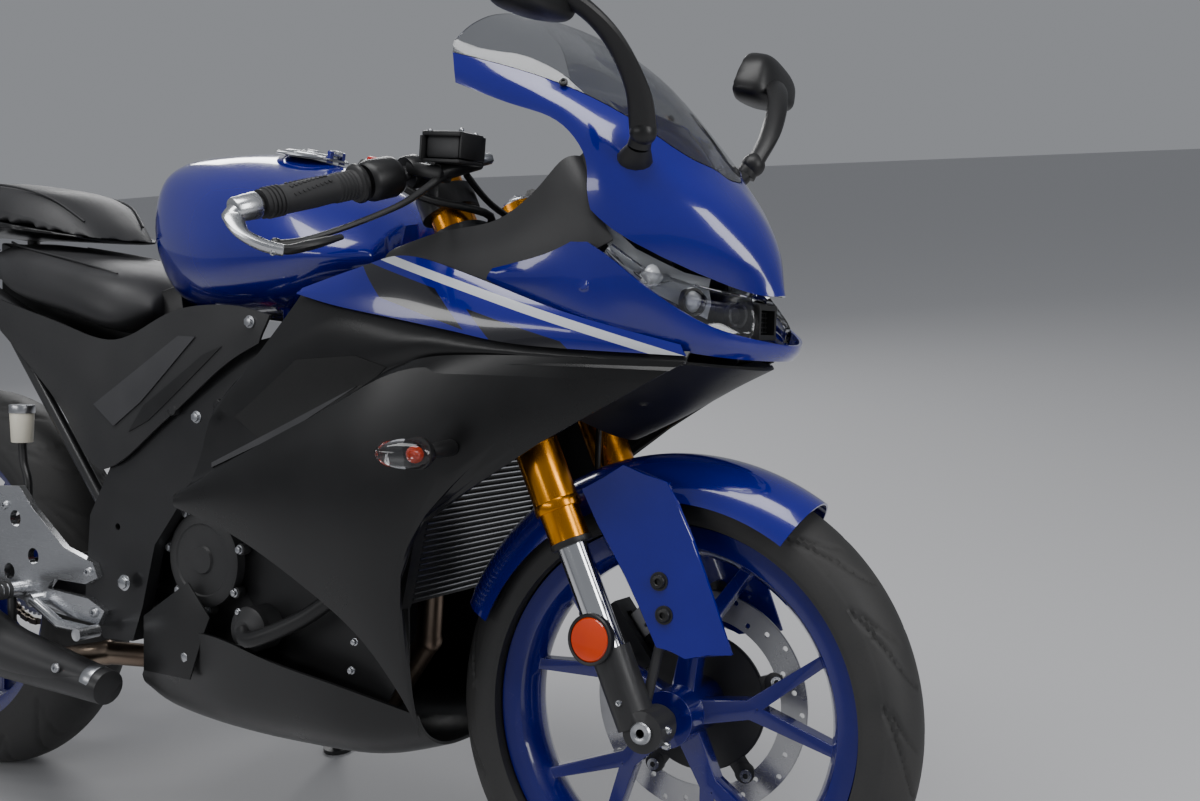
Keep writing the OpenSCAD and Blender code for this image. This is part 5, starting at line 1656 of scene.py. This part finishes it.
        def arc(centre: Vector, r: float, start: Vector, end: Vector, steps: int) -> list[Vector]:
            """Points round one sprocket, from one run of the chain to the other."""
            a = math.atan2(start.z - centre.z, start.x - centre.x)
            b = math.atan2(end.z - centre.z, end.x - centre.x)
            while b > a:
                b -= 2 * math.pi
            turns = [a + (b - a) * k / steps for k in range(1, steps)]
            return [centre + r * Vector((math.cos(v), 0, math.sin(v))) for v in turns]
        path += arc(front, small, top_b, low_b, 9)
        path += [low_b.lerp(low_a, k / 47) for k in range(48)]
        path += arc(rear, big, low_a, top_a, 22)
        for k, point in enumerate(path):
            after = path[(k + 1) % len(path)]
            middle = (point + after) / 2
            angle = -math.degrees(math.atan2(after.z - point.z, after.x - point.x))
            wide = 5.4 if k % 2 else 3.4
            size = ((after - point).length + 5, 1.5, 8.5)
            for s in (-1, 1):
                links.box(middle + Vector((0, s * wide, 0)), size, (0, angle, 0), bevel=0)
            links.rod(point - Vector((0, 6, 0)), point + Vector((0, 6, 0)), 3.2, sides=8, bevel=0)
        links.piece("chain_links", Body.ROOT, CHAIN, ["drive_chain"])
        teeth = Shape()
        teeth.spun([(30, -3), (78, -3), (78, 3), (30, 3)], rear, (0, 1, 0), 84, True)
        for k in range(self.teeth):
            a = 2 * math.pi * k / self.teeth
            out = Vector((math.cos(a), 0, math.sin(a)))
            teeth.box(rear + 79 * out, (8, 5, 5), (0, -math.degrees(a), 0), bevel=1)
        wheel = teeth.piece("sprocket_toothed", Body.REAR_WHEEL, ZINC, ["rear_sprocket"])
        holes = Shape()
        for k in range(self.holes):
            a = 2 * math.pi * k / self.holes
            at = rear + 56 * Vector((math.cos(a), 0, math.sin(a)))
            holes.rod(at - Vector((0, 8, 0)), at + Vector((0, 8, 0)), 12, sides=24, bevel=0)
        cut(wheel, holes, Body.REAR_WHEEL)


@dataclass
class Running:
    """Frame, swingarm, shock absorber, footrests and side stand."""

    kit: Kit

    def build(self) -> None:
        """Makes the running gear's pieces."""
        kit = self.kit
        kit.bevelled("main_frame", FRAME, 3)
        kit.bevelled("swingarm", FRAME, 2.5)
        kit.bevelled("rearsets", ALLOY, 1.6)
        kit.bevelled("rear_caliper", CASTING, 3)
        kit.bevelled("side_stand", EXHAUST, 1.5)
        self.shock()
        self.rests()
        self.axle()
        self.tail()
        self.stand()
        self.lamps()

    def shock(self) -> None:
        """Makes the shock absorber with its coil spring."""
        low, high = Vector((-248, 0, 414)), Vector((0, 0, 615))
        way = (high - low).normalized()
        rod = Shape()
        rod.rod(low, high - 12.3 * way, 11)
        rod.rod(low + 70 * way, low + 170 * way, 17)
        rod.spun([(17, 0), (27, 0), (27, 5), (17, 5)], low + 60 * way, way, 36, True)
        rod.spun([(11, 0), (27, 0), (27, 5), (11, 5)], low + 245 * way, way, 36, True)
        rod.box(low - Vector((0, 0, 4)), (26, 26, 15.6))
        rod.piece("shock_body", Body.ROOT, ZINC, ["rear_shock"])
        turns, steps = 7, 14
        side = way.cross(Vector((0, 1, 0))).normalized()
        up = side.cross(way)
        points = []
        for k in range(turns * steps + 1):
            a = 2 * math.pi * k / steps
            points.append(low + (66 + 177 * k / (turns * steps)) * way
                          + 21.5 * (math.cos(a) * side + math.sin(a) * up))
        coil = Shape()
        coil.tube(points, 4.6, steps=1, sides=10)
        coil.piece("shock_spring", Body.ROOT, SPRING)

    def rests(self) -> None:
        """Makes the ribbed footpegs, bolts, brake hoses and the rear brake's fluid tank."""
        rubber, bright, hose, tank = Shape(), Shape(), Shape(), Shape()
        for s in (-1, 1):
            for k in range(9):
                y = 180 + 8 * k
                rubber.spun([(10.5, -2.6), (13, -2.2), (13, 2.2), (10.5, 2.6)],
                            (-352, s * y, 352), (0, 1, 0), 24, True)
            for x, z in ((-208, 391), (-196, 334), (-352, 352), (-392, 470)):
                bright.bolt((x, s * 154, z), (0, s, 0), 7, 5)
        hose.tube([(-402, -120, 560), (-396, -122, 530), (-380, -126, 500), (-372, -134, 450)], 6)
        hose.tube([(-330, -132, 372), (-420, -128, 400), (-520, -126, 392), (-556, -118, 384)], 4)
        tank.rod((-402, -120, 560), (-402, -120, 604), 15, 17)
        bright.rod((-402, -120, 604), (-402, -120, 616), 18, sides=24)
        bright.rod((-402, -120, 582), (-402, -104, 590), 5)
        rubber.piece("footpeg_ribs", Body.ROOT, GRIP)
        bright.piece("footrest_bolts", Body.ROOT, ZINC)
        hose.piece("rear_brake_hoses", Body.ROOT, BLACK)
        tank.piece("rear_fluid_tank", Body.ROOT, FLUID)

    def axle(self) -> None:
        """Makes the rear axle's nuts, chain adjusters and the chain guard."""
        bright, dark = Shape(), Shape()
        x, _, z = STANCE.rear_axle
        for s in (-1, 1):
            bright.rod((x, s * 121, z), (x, s * 133, z), 13, sides=6)
            bright.rod((x, s * 119.5, z), (x, s * 122, z), 18, sides=36)
            dark.box((x, s * 121, z), (58, 4, 34), (0, -9.3, 0), bevel=1.5)
            bright.rod((-694, s * 108, 306), (-712, s * 108, 303), 5, sides=6)
        dark.prism([(-640, 402), (-300, 446), (-200, 440), (-200, 452), (-300, 462), (-640, 420)], 80, 104, 2)
        bright.piece("rear_axle_nuts", Body.ROOT, ZINC)
        dark.piece("chain_guard", Body.ROOT, BLACK)

    def tail(self) -> None:
        """Makes the number plate's lamp and the rear reflector."""
        back, red = Shape(), Shape()
        turn = Matrix.Rotation(math.radians(-30), 4, "Y")
        centre = Vector((-985, 0, 640))
        red.box(centre + turn @ Vector((-4.5, 0, -34)), (5, 66, 16), (0, -30, 0), bevel=2)
        back.box(centre + turn @ Vector((-8, 0, 52)), (18, 60, 10), (0, -30, 0), bevel=3)
        back.piece("plate_lamp", Body.ROOT, BLACK)
        red.piece("rear_reflector", Body.ROOT, RED)

    def stand(self) -> None:
        """Makes the side stand's pivot bolt."""
        top = Vector((-150, 166, 262))
        bright = Shape()
        pivot = Vector((0.0592, 0.9263, 0.3724)).normalized()
        bright.bolt(top + 15 * pivot, pivot, 9, 6, hexagon=True)
        bright.piece("stand_bolt", Body.ROOT, ZINC)

    def lamps(self) -> None:
        """Makes the clear front indicators with their bulbs."""
        stalk, lens, bulb = Shape(), Shape(), Shape()
        stalk.rod((455, 182, 612), (458, 236, 610), 10, 8, bevel=2)
        stalk.spun([(8, 0), (15, 2), (18, 8), (18.5, 14), (8, 14)], (458, 232, 610), (0.05, 1, 0), 36, True)
        turn = Matrix.Rotation(math.radians(-30), 4, "Z")
        lens.ball((447, 252, 609), 1, (34, 15, 17), turn)
        bulb.ball((458, 249, 609), 8, (1.3, 1, 1))
        bulb.both_sides().piece("indicator_bulbs", Body.ROOT, AMBER)
        stalk.both_sides().piece("indicator_stalks", Body.ROOT, BLACK)
        lens.both_sides().piece("indicator_lenses", Body.ROOT, LENS, ["indicators"])


# ---- Studio ----


@dataclass
class Studio:
    """Floor, soft lights and camera.

    Args:
        eye: where the camera is.
        yaw: its turn from facing the rider's left towards the rear, degrees.
        pitch: its tilt down, degrees.
        roll: its roll, degrees.
        lens: its focal length in millimetres.
        shift: how far the picture is shifted, as a share of its width.
    """

    eye: tuple[float, float, float] = (1384.0, -1346.0, 748.0)
    yaw: float = 27.7
    pitch: float = 4.0
    roll: float = 1.6
    lens: float = 38.58
    shift: tuple[float, float] = (-0.0825, 0.0204)

    def build(self) -> None:
        """Makes the floor, the lights and the camera."""
        self.floor()
        self.lights()
        self.camera()

    def floor(self) -> None:
        """Makes the pale floor."""
        bm = bmesh.new()
        bmesh.ops.create_grid(bm, x_segments=2, y_segments=2, size=30)
        mesh = bpy.data.meshes.new("floor")
        bm.to_mesh(mesh)
        bm.free()
        obj = bpy.data.objects.new("floor", mesh)
        bpy.context.scene.collection.objects.link(obj)
        made = bpy.data.materials.new("pale floor")
        made.use_nodes = True
        shader = made.node_tree.nodes["Principled BSDF"]
        shader.inputs["Base Color"].default_value = (0.56, 0.56, 0.57, 1)
        shader.inputs["Roughness"].default_value = 0.75
        mesh.materials.append(made)

    def lights(self) -> None:
        """Makes the soft lights and the surroundings."""
        world = bpy.data.worlds.new("studio")
        world.use_nodes = True
        back = world.node_tree.nodes["Background"]
        back.inputs["Color"].default_value = (0.62, 0.64, 0.68, 1)
        back.inputs["Strength"].default_value = 0.42
        bpy.context.scene.world = world
        for name, at, aim_at, size, power in (
                ("over", (0.4, -0.9, 3.6), (0.2, 0, 0.6), (3.0, 1.3), 80),
                ("front", (3.4, -0.4, 1.8), (0.4, 0, 0.7), (0.8, 2.0), 34),
                ("side", (-0.9, -3.4, 1.9), (0.1, 0, 0.6), (3.0, 0.5), 20),
                ("rim", (-2.2, 2.6, 2.4), (0, 0, 0.8), (2.0, 0.8), 44)):
            light = bpy.data.lights.new(name, "AREA")
            light.shape, light.size, light.size_y, light.energy = "RECTANGLE", *size, power
            obj = bpy.data.objects.new(name, light)
            obj.location = at
            obj.rotation_euler = (Vector(aim_at) - Vector(at)).to_track_quat("-Z", "Y").to_euler()
            bpy.context.scene.collection.objects.link(obj)

    def camera(self) -> None:
        """Makes the camera, which leans with the machine."""
        yaw, pitch, roll = (math.radians(v) for v in (self.yaw, self.pitch, self.roll))
        look = Vector((-math.sin(yaw) * math.cos(pitch), math.cos(yaw) * math.cos(pitch), -math.sin(pitch)))
        level = Vector((math.cos(yaw), math.sin(yaw), 0))
        rise = level.cross(look)
        right = level * math.cos(roll) + rise * math.sin(roll)
        up = rise * math.cos(roll) - level * math.sin(roll)
        turn = Matrix((right, up, -look)).transposed().to_4x4()
        place = STANCE.leaned() @ Matrix.Translation(self.eye) @ turn
        lens = bpy.data.cameras.new("camera")
        lens.sensor_width, lens.lens = 36.0, self.lens
        lens.shift_x, lens.shift_y = self.shift
        lens.clip_start = 0.01
        obj = bpy.data.objects.new("camera", lens)
        facing = place.to_3x3().normalized().to_quaternion()
        obj.matrix_world = Matrix.LocRotScale(place.translation, facing, None)
        bpy.context.scene.collection.objects.link(obj)
        bpy.context.scene.camera = obj


def main() -> None:
    """Builds every sub-assembly, then the studio."""
    logging.basicConfig(level=logging.INFO, format="%(message)s")
    for obj in list(bpy.data.objects):
        bpy.data.objects.remove(obj)
    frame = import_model()
    kit = Kit(frame)
    Wheel(kit, "front", Body.FRONT_WHEEL, STANCE.front_axle, 296, 100, 62, 60, 141).build()
    Wheel(kit, "rear", Body.REAR_WHEEL, STANCE.rear_axle, 314, 140, 96, -84, 110).build()
    Fork(kit).build()
    Cockpit(kit).build()
    Nose(kit).build()
    Bodywork(kit).build()
    Power(kit).build()
    Running(kit).build()
    Studio().build()


if __name__ == "__main__":
    main()
